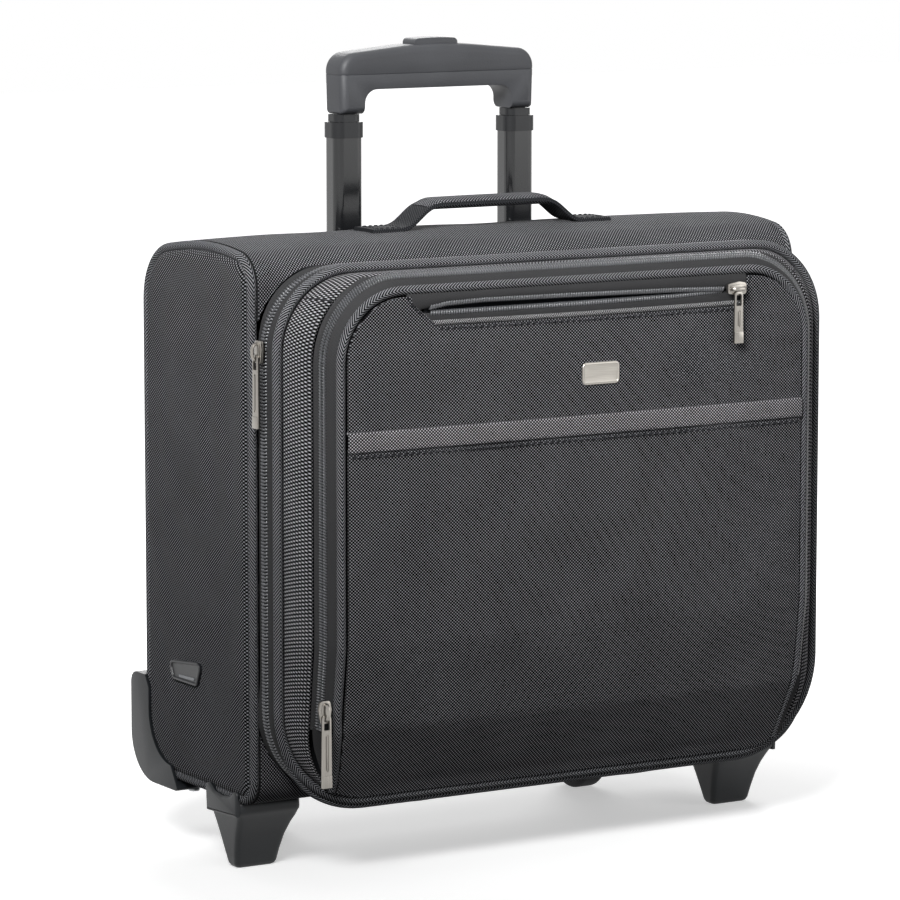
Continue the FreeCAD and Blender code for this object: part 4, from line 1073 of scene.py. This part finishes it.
def flap_line(grow, y_shift, low_z, tail_in, follow):
    """Points up the left side, over the top and down the right side of the flap, with tails to the rim."""
    half, top, radius = FLAP_HALF + grow, FLAP_TOP + grow, 42.0 + grow
    outline = ((half, low_z, 0), (half, top, radius), (-half, top, radius), (-half, low_z, 0))
    points = even(rounded(outline, closed=False, arc_parts=20, run_parts=60), 2.5, False)[::-1]
    x = points[:, 0] - np.sign(points[:, 0]) * tail_in * (1 - smooth((points[:, 1] - low_z) / 55.0))
    return np.column_stack([x, follow(points[:, 1]) + y_shift, points[:, 1]])


def build_flap_binding():
    """The piped cord round the flap."""
    line = flap_line(0.8, 2.6, 59.0, 5.5, flap_plane)
    obj = cord("flap_binding", line, 2.9, False, sides=14)
    finish_piece(obj, None, "herringbone binding", ["flap_piping"], angle=50)
    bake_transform(obj)


def build_organiser_zip(pitch):
    """The closed organiser zip: tape beside the gusset, two rows of teeth, tape beside the flap's binding."""
    def near(z):
        return gusset_front(z) + 0.2

    inner = flap_line(3.0, 3.0, 99.5, 0.5, flap_plane)
    middle = flap_line(8.9, 0.4, 99.5, 0.5, near)
    outer = flap_line(13.4, 3.6, 99.5, 0.5, near)
    # Over the top the gusset runs straight back, so the tape passes under its edge.
    outer[:, 2] = np.minimum(outer[:, 2], RING_TOP - 6.8)
    count = min(len(inner), len(middle), len(outer))

    def matched(line):
        line = even(line, 1.0, False)
        return point_at(line, np.linspace(0, travel(line)[-1], count))

    inner, middle, outer = matched(inner), matched(middle), matched(outer)
    across = unit(inner - outer)
    out = np.cross(across, tangents(middle, False))
    out *= -np.sign(out[:, 1:2])
    for name, edge, body, sign, nodes in (
        ("flap", inner, "flap", -1, ["organiser_zip_flap_half"]),
        ("lid", outer, "lid", 1, ["organiser_zip_lid_half"]),
    ):
        rows = []
        for part in np.linspace(0, 1, 6):
            line = edge + (middle - across * 0.5 * sign - edge) * part
            rows.append(line + out * (0.8 * math.sin(part * math.pi)))
        rows = np.array(rows).transpose(1, 0, 2)
        obj = sheet(name + "_organiser_tape", rows)
        face_front(obj)
        thicken(obj, FINE_TAPE)
        finish_piece(obj, body, "satin zip tape", nodes)
        line = middle - across * 1.3 * sign + out * 0.8
        start = pitch * 0.5 if sign > 0 else 0.0
        teeth_row(name + "_organiser_teeth", line, out, across * sign, pitch, start, body, size=(3.0, 1.25, 1.8))
    for side, name in SIDES:
        rows = []
        for z in np.linspace(60.0, 101.0, 16):
            half = FLAP_HALF + 3.0 - 5.5 * (1 - smooth((z - 59.0) / 55.0))
            wide = half + 10.4 * (0.35 + 0.65 * smooth((z - 58.0) / 36.0))
            rows.append([(side * x, gusset_front(z) + 1.0 - 0.8 * math.sin(part * math.pi), z)
                         for part, x in zip(np.linspace(0, 1, 6), np.linspace(half - 2.5, wide, 6))])
        obj = sheet("organiser_tail_" + name, rows)
        face_front(obj)
        thicken(obj, FINE_TAPE)
        finish_piece(obj, "lid", "satin zip tape")


# ---------------------------------------------------------------- pocket


def build_pocket(bulge, pitch, stitch):
    """Open pocket zip: upper tape under the binding, two parted rows of teeth, the folded lower lip, the bag."""
    xs = np.linspace(-124.0, 122.5, 90)
    # Heights of the two rows of teeth: closed at the left, parted in the middle, together at the slider.
    upper = np.interp(xs, [-119, -112, -96, -70, 0, 70, 113, 122],
                      [351.6, 353.4, 356.0, 356.8, 356.2, 355.1, 353.6, 353.4])
    lower = np.interp(xs, [-119, -112, -100, 0, 70, 105, 122], [350.4, 350.6, 350.2, 350.2, 350.8, 352.4, 352.0])
    rows = np.array([front_point(xs, 362.0 + (upper - 362.0) * part, -depth, bulge) for part, depth in (
        (-0.15, 1.6), (0.0, 1.0), (0.35, 0.5), (0.7, 0.7), (0.9, 1.2), (1.0, 1.8))])
    low = np.array([front_point(xs, lower + (344.8 - lower) * part, -depth, bulge) for part, depth in (
        (0.0, 3.0), (0.2, 2.4), (0.6, 2.3), (1.0, 2.6))])
    for name, lines, nodes in (("pocket_upper_tape", rows, ["pocket_zip"]), ("pocket_lower_tape", low, [])):
        tape = sheet(name, lines, uv=planar_uv(lines))
        face_front(tape)
        thicken(tape, 0.7)
        finish_piece(tape, "flap", "satin zip tape", nodes)
    inside = slice(6, -6)
    for name, line, towards, start in (
        ("pocket_upper_teeth", rows[-1][inside], -1.0, 0.0),
        ("pocket_lower_teeth", low[0][inside], 1.0, 0.5),
    ):
        line = line + np.array([0, -0.5, towards * 0.3])
        out = np.tile([0.0, -1.0, 0.25 * towards], (len(line), 1))
        edge = np.tile([0.0, 0.0, towards], (len(line), 1))
        teeth_row(name, line, out, edge, pitch, pitch * start, "flap", size=(3.4, 1.4, 1.5))
    lip_x = np.linspace(-106.5, 118.2, 90)
    sag = 0.5 * np.sin(np.linspace(0, math.pi, 90))
    lip = [front_point(lip_x, z - sag, proud, bulge) for z, proud in (
        (345.6, -3.4), (346.1, -1.6), (345.9, 0.3), (345.0, 1.0), (343.9, 0.9), (343.1, 0.2), (342.9, -0.8))]
    obj = sheet("pocket_lip", lip)
    face_front(obj)
    thicken(obj, 0.9)
    finish_piece(obj, "flap", "pale herringbone binding", angle=70)
    sag = 0.5 * np.sin(np.linspace(0, math.pi, 100))
    path = front_point(np.linspace(-103.0, 117.0, 100), 340.9 - sag, 0.3, bulge)
    stitches("pocket_stitching", path, (0, -1, 0), stitch, 1.3, 0.62, "flap", lean=0.4)
    for name, corners in (
        ("left", ((-105.5, 342.5), (-122.6, 357.0), (-124.6, 362.0))),
        ("right", ((119.4, 343.4), (123.2, 354.7), (125.6, 362.0))),
    ):
        ends = even(np.array(corners), 1.5, False)
        ends = front_point(ends[:, 0], ends[:, 1], 0.3, bulge)
        stitches("pocket_end_" + name, ends, (0, -1, 0), stitch * 0.8, 1.0, 0.5, "flap", lean=0.2)
    outline = ((-111.0, 295.1, 9.0), (121.0, 295.1, 9.0), (121.0, 361.0, 4.0), (-111.0, 361.0, 4.0))
    outline = even(rounded(outline), 2.0, True)

    def place(x, z, height):
        return np.column_stack([x, FLAP_Y + 3.4 + height, z])

    bag = thicken(crowned("pocket_pouch", outline, place, (7.4, 16.0), 1.0, 0.8, 21, 30.0, parts=(61, 31)), FINE_TAPE)
    outer_normals(bag)
    finish_piece(bag, "flap", "taffeta lining", ["pocket_bag"])


# ---------------------------------------------------------------- sliders and pulls


def plate(outline, low, high, bevel, parts=5):
    """A flat plate over an (x, z) outline with softened edges."""
    obj = prism(rounded(outline, arc_parts=parts, run_parts=2), low, high)
    return bevelled(obj, bevel, angle=50)


def slider_model():
    """A zip slider: two flared wings joined by a neck, with an arched bail along it."""
    wings = ((-3.0, -7.0, 1.2), (3.0, -7.0, 1.2), (4.5, 1.5, 3.0), (3.4, 7.0, 2.0), (-3.4, 7.0, 2.0), (-4.5, 1.5, 3.0))
    top = plate(wings, -3.3, -1.9, 0.4)
    low = plate(inset(wings, 0.4), -1.9, -0.3, 0.3)
    saddle = plate(inset(wings, 1.6), -3.9, -3.0, 0.4)
    arch = ((-3.2, 5.0), (-5.2, 4.7), (-6.6, 3.4), (-7.0, 1.6), (-7.0, -1.6), (-6.5, -3.4), (-5.2, -4.6), (-3.2, -5.0))
    arch = np.array([(0, y, z) for y, z in arch])
    bail = cord("bail", even(arch, 0.8, False), 0.95, False, up=(1, 0, 0), sides=8, flat=1.3)
    return joined("slider", [top, low, saddle, bail])


def pull_model(length):
    """A pull: a ring over the bail, a tab with a raised frame round its slot, and a plain end block."""
    axis_y, axis_z = -4.4, -2.3
    low = -length + 10.0

    def shape(half_low, z_low, radius_low, half_high=None, z_high=0.0, radius_high=None):
        """A tapering outline whose heights are measured from the pull's own pin."""
        half_high, radius_high = half_high or half_low, radius_high or radius_low
        return ((-half_low, z_low + axis_z, radius_low), (half_low, z_low + axis_z, radius_low),
                (half_high, z_high + axis_z, radius_high), (-half_high, z_high + axis_z, radius_high))

    def slot(outline, front, rear):
        return prism(rounded(outline, arc_parts=4, run_parts=2), front, rear)

    body = plate(shape(3.5, -length, 0.4, 3.1, 0.8, 2.4), axis_y - 0.75, axis_y + 0.75, 0.3)
    cut(body, slot(shape(2.0, -8.4, 0.6, 1.9, -0.9, 1.5), -9, 0))
    cut(body, slot(shape(0.95, low, 0.9, z_high=-11.0), axis_y - 2, axis_y - 0.25))
    ridge = plate(shape(0.42, low + 0.8, 0.4, z_high=-11.9), axis_y - 0.85, axis_y, 0.15, 3)
    end = plate(shape(3.5, -length, 0.4, 3.4, low - 2.6, 0.3), axis_y - 1.15, axis_y + 0.95, 0.3, 3)
    return joined("pull", [body, ridge, end])


def build_sliders():
    """Every zip's slider and pull."""
    # Each zip's turn about the upright, the place of its slider and the length of its pull.
    for name, angle, spot, length in (
        ("main_left", -90.0, (1.5 - SIDE, ZIP_Y + 2.5, SLIDER_Z), 44.0),
        ("main_right", 90.0, (SIDE - 1.5, ZIP_Y + 2.5, SLIDER_Z), 44.0),
        ("organiser", 0.0, (-178.0, RING_Y - 20.6, 112.02), 44.0),
        ("pocket", 0.0, (112.0, FLAP_Y - 2.5, 354.02), 32.0),
    ):
        for kind, obj in (("slider", slider_model()), ("pull", pull_model(length))):
            obj.name = name + "_" + kind + "_casting"
            if name == "pocket" and kind == "slider":
                obj.data.transform(Matrix.Rotation(math.radians(90), 4, "Y"))
            obj.data.transform(Matrix.Rotation(math.radians(angle), 4, "Z"))
            obj.data.transform(Matrix.Translation(Vector(spot) * MM))
            outer_normals(obj)
            finish_piece(obj, name + "_" + kind, "satin nickel", [name + "_" + kind], angle=35)


def build_badge(bulge):
    """A bare nickel plate with a bevelled rim, pinned to the front panel."""
    x, z = 12.0, 307.02
    outline = ((x - 13.5, z - 7.0, 3.0), (x + 13.5, z - 7.0, 3.0), (x + 13.5, z + 7.0, 3.0), (x - 13.5, z + 7.0, 3.0))
    back = float(front_point(x, z, 0.0, bulge)[1])
    rows = []
    for distance, proud in ((0.0, -1.0), (0.0, 0.9), (0.35, 1.3), (1.1, 1.4), (1.5, 1.05), (2.2, 0.95), (5.8, 0.95)):
        rows.append(at_depth(rounded(inset(outline, distance), arc_parts=8, run_parts=4), back - proud))
    obj = sheet("plain_badge", rows, closed_cols=True)
    close_ends(obj)
    finish_piece(obj, "flap", "brushed nickel badge", ["badge_plate"], angle=30)


# ---------------------------------------------------------------- guards and feet


def lofted(name, rings):
    """A closed skin over rings of points from bottom to top."""
    return close_ends(sheet(name, np.array(rings), closed_cols=True))


def foot_ring(x0, x1, y0, y1, z, radius):
    """A rounded rectangle at a height: x0 the inner side, x1 the outer, y0 the front."""
    ring = rounded(((x0, y0, radius), (x1, y0, radius), (x1, y1, radius), (x0, y1, radius)), arc_parts=6, run_parts=8)
    return np.column_stack([ring, np.full(len(ring), z)])


def build_feet():
    """Each front foot: a leg that flares up into a flange, and a lip with two soft horns up the side."""
    top = BOTTOM - 0.3
    sections = (
        # height, inner side, outer side, front, rear, corner
        (0.0, 166.0, 190.4, -8.4, -1.0, 2.2),
        (0.8, 164.4, 191.8, -9.6, 0.4, 2.8),
        (2.6, 163.4, 193.0, -10.4, 1.6, 3.0),
        (10.0, 162.4, 194.0, -12.6, 4.6, 3.2),
        (20.0, 160.6, 195.4, -16.2, 8.2, 3.4),
        (28.0, 158.6, 196.8, -20.6, 10.8, 3.6),
        (33.0, 157.0, 198.0, -24.0, 12.0, 3.6),
        (36.8, 156.4, 199.2, -26.6, 12.6, 3.6),
        (38.2, 156.2, 200.2, -28.0, 12.8, 4.0),
        (40.0, 156.2, 200.8, -28.6, 12.8, 4.4),
        (top - 1.2, 156.4, 201.0, -28.6, 12.6, 4.4),
        (top, 157.0, 200.6, -28.0, 12.2, 4.0),
    )
    horns = ((-27.4, -8.0), (-28.4, 4.6), (-27.0, 7.6), (-23.6, 7.4), (-18.6, 3.8), (-9.0, 2.4),
             (1.0, 3.8), (6.6, 7.6), (10.0, 8.0), (12.6, 4.6), (11.6, -10.0))
    for side, name in SIDES:
        leg = lofted("leg", [foot_ring(x0, x1, y0, y1, z, r) for z, x0, x1, y0, y1, r in sections])
        foot = joined("front_foot_" + name + "_casting", [leg, side_lip([(y, top + up) for y, up in horns])])
        if side < 0:
            for vertex in foot.data.vertices:
                vertex.co.x *= -1
        outer_normals(foot)
        finish_piece(foot, "root", "moulded guard plastic", ["front_foot_" + name], angle=40)


def side_lip(points):
    """A thin lip over (y, z) points that hugs the side of the bag."""
    ring = even(np.array(points, float), 1.2, True)
    normal = outward(ring, True)
    normal *= np.sign(((ring - ring.mean(axis=0)) * normal).sum(axis=1).mean())
    # How far in from the outline, and how far out from the side of the bag.
    profile = ((1.2, -1.0), (0.0, -0.6), (0.0, 1.2), (0.6, 1.9), (1.6, 2.2))
    return lofted("lip", [
        np.column_stack([np.full(len(ring), SIDE + out), ring - normal * distance]) for distance, out in profile])


def build_screws():
    """Pan-head screws with a cross recess under the wheel housings. Those in the front feet aren't drawn."""
    head = bevelled(rod(28, 3.6, 1.8, location=(0, 0, 38.12)), 0.7, 3, 60)
    for long, short in ((2.1, 0.45), (0.45, 2.1)):
        cut(head, block(-long, long, -short, short, 36.0, 38.0))
    shank = rod(16, 1.8, 8.0, location=(0, 0, 42.6))
    model = joined("screw", [head, shank])
    # Two screws a side, at these distances from the middle.
    places = [frame_at((x, BACK - 42.5, 0), *np.eye(3)) for x in (-164.0, -188.0, 164.0, 188.0)]
    screws = copies("base_screw_heads", model, places)
    finish_piece(screws, "root", "zinc steel", ["base_screws"], angle=35)


def build_guards():
    """Hard plastic with rounded edges: wheel housings and the two halves of the grip."""
    for side in ("left", "right"):
        softened("wheel_housing_" + side, "root", "moulded guard plastic", 1.3, 3)
    for half in ("lower", "upper"):
        softened("grip_%s_shell" % half, "stage_3", "soft-touch grip plastic", 0.5)


# ---------------------------------------------------------------- carry handle and inside


def build_carry_handle(stitch):
    """A webbing strap arched over the top, with a padded sleeve sewn round its middle."""
    centre_y = FRONT + 57.0
    ground = TOP - 2.1
    low, high = ground + 1.6, ground + 16.4
    spine = ((-88.0, low, 0), (-62.0, low, 18.0), (-44.0, high, 22.0),
             (44.0, high, 22.0), (62.0, low, 18.0), (88.0, low, 0))
    line = even(rounded(spine, closed=False, arc_parts=12, run_parts=12), 3.0, False)
    normal = -outward(line, False)
    strap = []
    for width, proud in ((-12.0, -1.2), (-12.2, 0.0), (-11.6, 1.3), (0.0, 1.5),
                         (11.6, 1.3), (12.2, 0.0), (12.0, -1.2), (0.0, -1.4)):
        strap.append(at_depth(line + normal * proud, centre_y + width))
    obj = lofted("carry_strap", np.array(strap).transpose(1, 0, 2))
    finish_piece(obj, "root", "ribbed webbing", ["carry_handle"], angle=50)
    padded = np.abs(line[:, 0]) < 47
    pad_line, pad_normal = line[padded], normal[padded]
    angles = np.linspace(0, 2 * math.pi, 20, endpoint=False)
    rows = []
    for i, (point, up) in enumerate(zip(pad_line, pad_normal)):
        end = min(i, len(pad_line) - 1 - i)
        plump = 0.55 + 0.45 * float(smooth(end / 3.0))
        ring = []
        for angle in angles:
            wide = np.sign(math.cos(angle)) * abs(math.cos(angle)) ** 0.6 * 11.9
            deep = np.sign(math.sin(angle)) * abs(math.sin(angle)) ** 0.75 * 3.4 * plump
            ring.append((point[0] + up[0] * deep, centre_y + wide, point[1] + up[1] * deep))
        rows.append(ring)
    pad = lofted("carry_pad", rows)
    puff(pad, 3.0, 1.2)
    finish_piece(pad, "root", "ballistic polyester", angle=60)
    for sign, name in SIDES:
        box = ((66, -9), (84, -9), (84, 9), (66, 9), (66, -9))
        path = even(np.array([(sign * x, centre_y + y, ground + 3.2) for x, y in box]), 1.0, False)
        stitches("carry_stitching_" + name, path, (0, 0, 1), stitch, 1.2, 0.5, "root")


def puff(obj, pressure, cap):
    """Swells a closed pad with simulated cloth, keeping every point within a cap, in mm, of where it began."""
    before = np.array([tuple(v.co) for v in obj.data.vertices])
    pick(obj)
    bpy.ops.object.modifier_add(type="CLOTH")
    cloth = obj.modifiers[-1]
    for key, value in {
        "use_pressure": True, "uniform_pressure_force": pressure, "quality": 4,
        "tension_stiffness": 25, "bending_stiffness": 4,
    }.items():
        setattr(cloth.settings, key, value)
    cloth.settings.effector_weights.gravity = 0
    cloth.collision_settings.use_collision = False
    scene = bpy.context.scene
    for step in range(1, 15):
        scene.frame_set(step)
    bpy.ops.object.modifier_apply(modifier=cloth.name)
    scene.frame_set(1)
    move = np.array([tuple(v.co) for v in obj.data.vertices]) - before
    size = np.maximum(np.linalg.norm(move, axis=1), 1e-9)[:, None]
    obj.data.vertices.foreach_set("co", (before + move / size * np.minimum(size, cap * MM)).ravel())
    obj.data.update()


def build_sleeve():
    """The padded laptop sleeve: a quilted front wall on a short foot, with a bound top edge."""
    half, low, high, middle_y = 177.0, 52.0, 314.5, 41.4
    xs = spread(half, 61)
    zs = np.concatenate([[0], np.linspace(0.008, 0.992, 48), [1]]) * (high - low) + low
    rows = []
    for side in (-1, 1):
        for z in (zs if side < 0 else zs[::-1]):
            edge = smooth((half - np.abs(xs)) / 9.0) * smooth(min(z - low, high - z) / 9.0)
            channel = 1 - 0.35 * np.exp(-(((z - low) % 52.5 - 26.0) / 3.0) ** 2)
            rows.append(np.column_stack([xs, middle_y + side * (0.6 + 1.9 * edge * channel), np.full(len(xs), z)]))
    obj = close_ends(sheet("sleeve_pad", rows, closed_rows=True))
    puff(obj, 1.5, 0.5)
    finish_piece(obj, "root", "taffeta lining", ["laptop_sleeve"], angle=60)
    foot = bevelled(block(-176.5, 176.5, 43.0, 64.4, 51.4, 55.6), 1.6, 3)
    foot.name = "sleeve_foot"
    flat_map(foot, 0, 1)
    finish_piece(foot, "root", "taffeta lining", angle=40)
    path = np.column_stack([np.linspace(-half, half, 90), np.full(90, middle_y), np.full(90, high + 0.3)])
    edge = cord("sleeve_binding", path, 1.9, False, sides=10)
    finish_piece(edge, "root", "herringbone binding")


# ---------------------------------------------------------------- stage


# Place in metres, turn and tilt in degrees, lens in millimetres.
CAMERA_PLACE = (-1.521, -2.476, 0.655)
CAMERA_TURN = -31.02
CAMERA_DOWN = 7.99
LENS = 184.64


def lamp(name, place, target, sides, power, angle):
    """A rectangular lamp that looks at a target."""
    data = bpy.data.lights.new(name, "AREA")
    data.shape = "RECTANGLE"
    data.size, data.size_y = sides
    data.energy = power
    data.spread = math.radians(angle)
    obj = bpy.data.objects.new(name, data)
    bpy.context.scene.collection.objects.link(obj)
    obj.location = place
    obj.rotation_euler = (Vector(target) - Vector(place)).to_track_quat("-Z", "Y").to_euler()


def backdrop_rays(tree):
    """1 for the rays that show the backdrop: straight to the eye, mirrored, or through something clear."""
    ray = add(tree, "LightPath").outputs
    either = add(tree, "Math", ray["Is Camera Ray"], ray["Is Glossy Ray"], operation="MAXIMUM").outputs[0]
    return add(tree, "Math", either, ray["Is Transmission Ray"], operation="MAXIMUM").outputs[0]


def build_camera(scene):
    """The camera, a little above the case and to the left of its front."""
    camera = bpy.data.objects.new("camera", bpy.data.cameras.new("camera"))
    scene.collection.objects.link(camera)
    camera.data.lens = LENS
    camera.data.sensor_width = 36.0
    camera.data.clip_end = 50.0
    turn, down = math.radians(CAMERA_TURN), math.radians(CAMERA_DOWN)
    look = Vector((-math.sin(turn) * math.cos(down), math.cos(turn) * math.cos(down), -math.sin(down)))
    camera.location = CAMERA_PLACE
    camera.rotation_euler = look.to_track_quat("-Z", "Y").to_euler()
    scene.camera = camera


def build_floor():
    """A pale floor that glows to white away from the case."""
    deselect()
    bpy.ops.mesh.primitive_plane_add(size=14.0, location=(0, 0, 0))
    floor = bpy.context.object
    floor.name = "floor"
    tree, shader = start_material("pale matt floor", Roughness=0.9, Base_Color=colour("#f6f6f6"))
    # White studio sweep: the glow rises away from the case, so the floor meets the backdrop without a line.
    place = add(tree, "TexCoord").outputs["Object"]
    away = add(tree, "VectorMath", place, operation="LENGTH").outputs["Value"]
    rise = add(tree, "MapRange", away, 0.25, 0.75, 0.45, 1.0).outputs[0]
    white = add(tree, "Emission", (1, 1, 1, 1), rise).outputs[0]
    both = add(tree, "AddShader", shader.outputs[0], white).outputs[0]
    # What the floor gives back to the case is a calmer grey than what the eye sees of it.
    calm = add(tree, "BsdfDiffuse", colour("#5a5a5a")).outputs[0]
    mix = add(tree, "MixShader", backdrop_rays(tree), calm, both)
    tree.links.new(tree.nodes["Material Output"].inputs["Surface"], mix.outputs[0])
    floor.data.materials.append(MATERIALS["pale matt floor"])


def build_studio(scene):
    """A white world to the eye, a soft one for the light, and four lamps."""
    world = bpy.data.worlds.new("studio")
    scene.world = world
    world.use_nodes = True
    tree = world.node_tree
    soft = tree.nodes["Background"]
    soft.inputs[0].default_value = (1, 1, 1, 1)
    soft.inputs[1].default_value = 0.2
    seen = add(tree, "Background", (1, 1, 1, 1), 1.0).outputs[0]
    mix = add(tree, "MixShader", backdrop_rays(tree), soft.outputs[0], seen)
    tree.links.new(tree.nodes["World Output"].inputs["Surface"], mix.outputs[0])
    # Each lamp's place and target in metres, its sides, its power and the angle of its beam.
    lamp("key", (-1.05, -0.95, 1.3), (0.02, 0, 0.62), (0.7, 0.6), 5.8, 52.0)
    lamp("top", (0.1, 0.1, 1.7), (0, 0, 0.2), (1.2, 1.0), 1.8, 120.0)
    lamp("back", (0.9, 1.9, 1.3), (0, 0, 0.35), (1.2, 1.0), 5.0, 90.0)
    lamp("fill", (1.5, -1.6, 0.9), (0, 0, 0.5), (1.2, 1.2), 1.6, 60.0)


# ---------------------------------------------------------------- operators


def size(context, name):
    """One of the case's sizes, in mm."""
    return getattr(context.scene.case_sizes, name) / MM


class CASE_OT_finishes(bpy.types.Operator):
    """Make every finish and put the hard ones on the frame's own pieces."""

    bl_idname = "case.finishes"
    bl_label = "Finishes"

    def execute(self, context):
        make_materials(context.scene.case_finish)
        for material, nodes in CAD_FINISH.items():
            for node in nodes:
                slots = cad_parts[node].data.materials
                slots.clear()
                slots.append(MATERIALS[material])
        return {"FINISHED"}


class CASE_OT_body(bpy.types.Operator):
    """Side panels, top, back and bottom covers, side binding and the bare label."""

    bl_idname = "case.body"
    bl_label = "Body"

    def execute(self, context):
        build_side_panels(size(context, "side_crown"))
        build_wrap(size(context, "top_crown"))
        build_side_piping()
        build_label()
        return {"FINISHED"}


class CASE_OT_main_zip(bpy.types.Operator):
    """Both halves of the main zip and the cloth hinge."""

    bl_idname = "case.main_zip"
    bl_label = "Main zip"

    def execute(self, context):
        build_main_zip(size(context, "tooth_pitch"))
        build_hinge()
        return {"FINISHED"}


class CASE_OT_lid(bpy.types.Operator):
    """Gusset, rim binding and lining of the lid."""

    bl_idname = "case.lid"
    bl_label = "Lid"

    def execute(self, context):
        build_gusset()
        build_rim()
        build_lid_lining()
        return {"FINISHED"}


class CASE_OT_flap(bpy.types.Operator):
    """Front panel covers, accent band, binding and organiser zip."""

    bl_idname = "case.flap"
    bl_label = "Front flap"

    def execute(self, context):
        crown = size(context, "front_crown")
        build_upper(crown)
        build_lower(crown)
        build_band(crown, size(context, "stitch"))
        build_flap_binding()
        build_organiser_zip(size(context, "tooth_pitch") * FINE_ZIP)
        build_badge(crown)
        return {"FINISHED"}


class CASE_OT_pocket(bpy.types.Operator):
    """Top pocket with its open zip, stitched ends and bag."""

    bl_idname = "case.pocket"
    bl_label = "Top pocket"

    def execute(self, context):
        # The organiser and the pocket have finer zips than the main one.
        build_pocket(size(context, "front_crown"), size(context, "tooth_pitch") * FINE_ZIP, size(context, "stitch"))
        return {"FINISHED"}


class CASE_OT_sliders(bpy.types.Operator):
    """Four zip sliders with their pulls."""

    bl_idname = "case.sliders"
    bl_label = "Zip sliders"

    def execute(self, context):
        build_sliders()
        return {"FINISHED"}


class CASE_OT_guards(bpy.types.Operator):
    """Front feet, base screws, wheel housings and grip shells with rounded edges."""

    bl_idname = "case.guards"
    bl_label = "Guards and feet"

    def execute(self, context):
        build_feet()
        build_screws()
        build_guards()
        return {"FINISHED"}


class CASE_OT_carry_handle(bpy.types.Operator):
    """The padded carry handle on top."""

    bl_idname = "case.carry_handle"
    bl_label = "Carry handle"

    def execute(self, context):
        build_carry_handle(size(context, "stitch"))
        return {"FINISHED"}


class CASE_OT_sleeve(bpy.types.Operator):
    """The padded laptop sleeve inside."""

    bl_idname = "case.sleeve"
    bl_label = "Laptop sleeve"

    def execute(self, context):
        build_sleeve()
        return {"FINISHED"}


class CASE_OT_stage(bpy.types.Operator):
    """Floor, studio light and camera."""

    bl_idname = "case.stage"
    bl_label = "Stage"

    def execute(self, context):
        context.scene.view_settings.view_transform = "Standard"
        build_camera(context.scene)
        build_floor()
        build_studio(context.scene)
        return {"FINISHED"}


OPERATORS = (
    CASE_OT_finishes,
    CASE_OT_body,
    CASE_OT_main_zip,
    CASE_OT_lid,
    CASE_OT_flap,
    CASE_OT_pocket,
    CASE_OT_sliders,
    CASE_OT_guards,
    CASE_OT_carry_handle,
    CASE_OT_sleeve,
    CASE_OT_stage,
)


class CASE_PT_panel(bpy.types.Panel):
    """Lists the pieces of the case and their settings."""

    bl_idname = "CASE_PT_panel"
    bl_label = "Rolling laptop case"
    bl_space_type = "VIEW_3D"
    bl_region_type = "UI"
    bl_category = "Case"

    def draw(self, context):
        for group in (context.scene.case_sizes, context.scene.case_finish):
            for key in group.bl_rna.properties.keys():
                if key not in ("rna_type", "name"):
                    self.layout.prop(group, key)
        for operator in OPERATORS:
            self.layout.operator(operator.bl_idname)


CLASSES = (CaseSizes, CaseFinish, *OPERATORS, CASE_PT_panel)


def register():
    for cls in CLASSES:
        bpy.utils.register_class(cls)
    bpy.types.Scene.case_sizes = bpy.props.PointerProperty(type=CaseSizes)
    bpy.types.Scene.case_finish = bpy.props.PointerProperty(type=CaseFinish)


def unregister():
    del bpy.types.Scene.case_sizes
    del bpy.types.Scene.case_finish
    for cls in reversed(CLASSES):
        bpy.utils.unregister_class(cls)


def main():
    register()
    for operator in OPERATORS:
        group, name = operator.bl_idname.split(".")
        getattr(getattr(bpy.ops, group), name)()


if __name__ == "__main__":
    main()
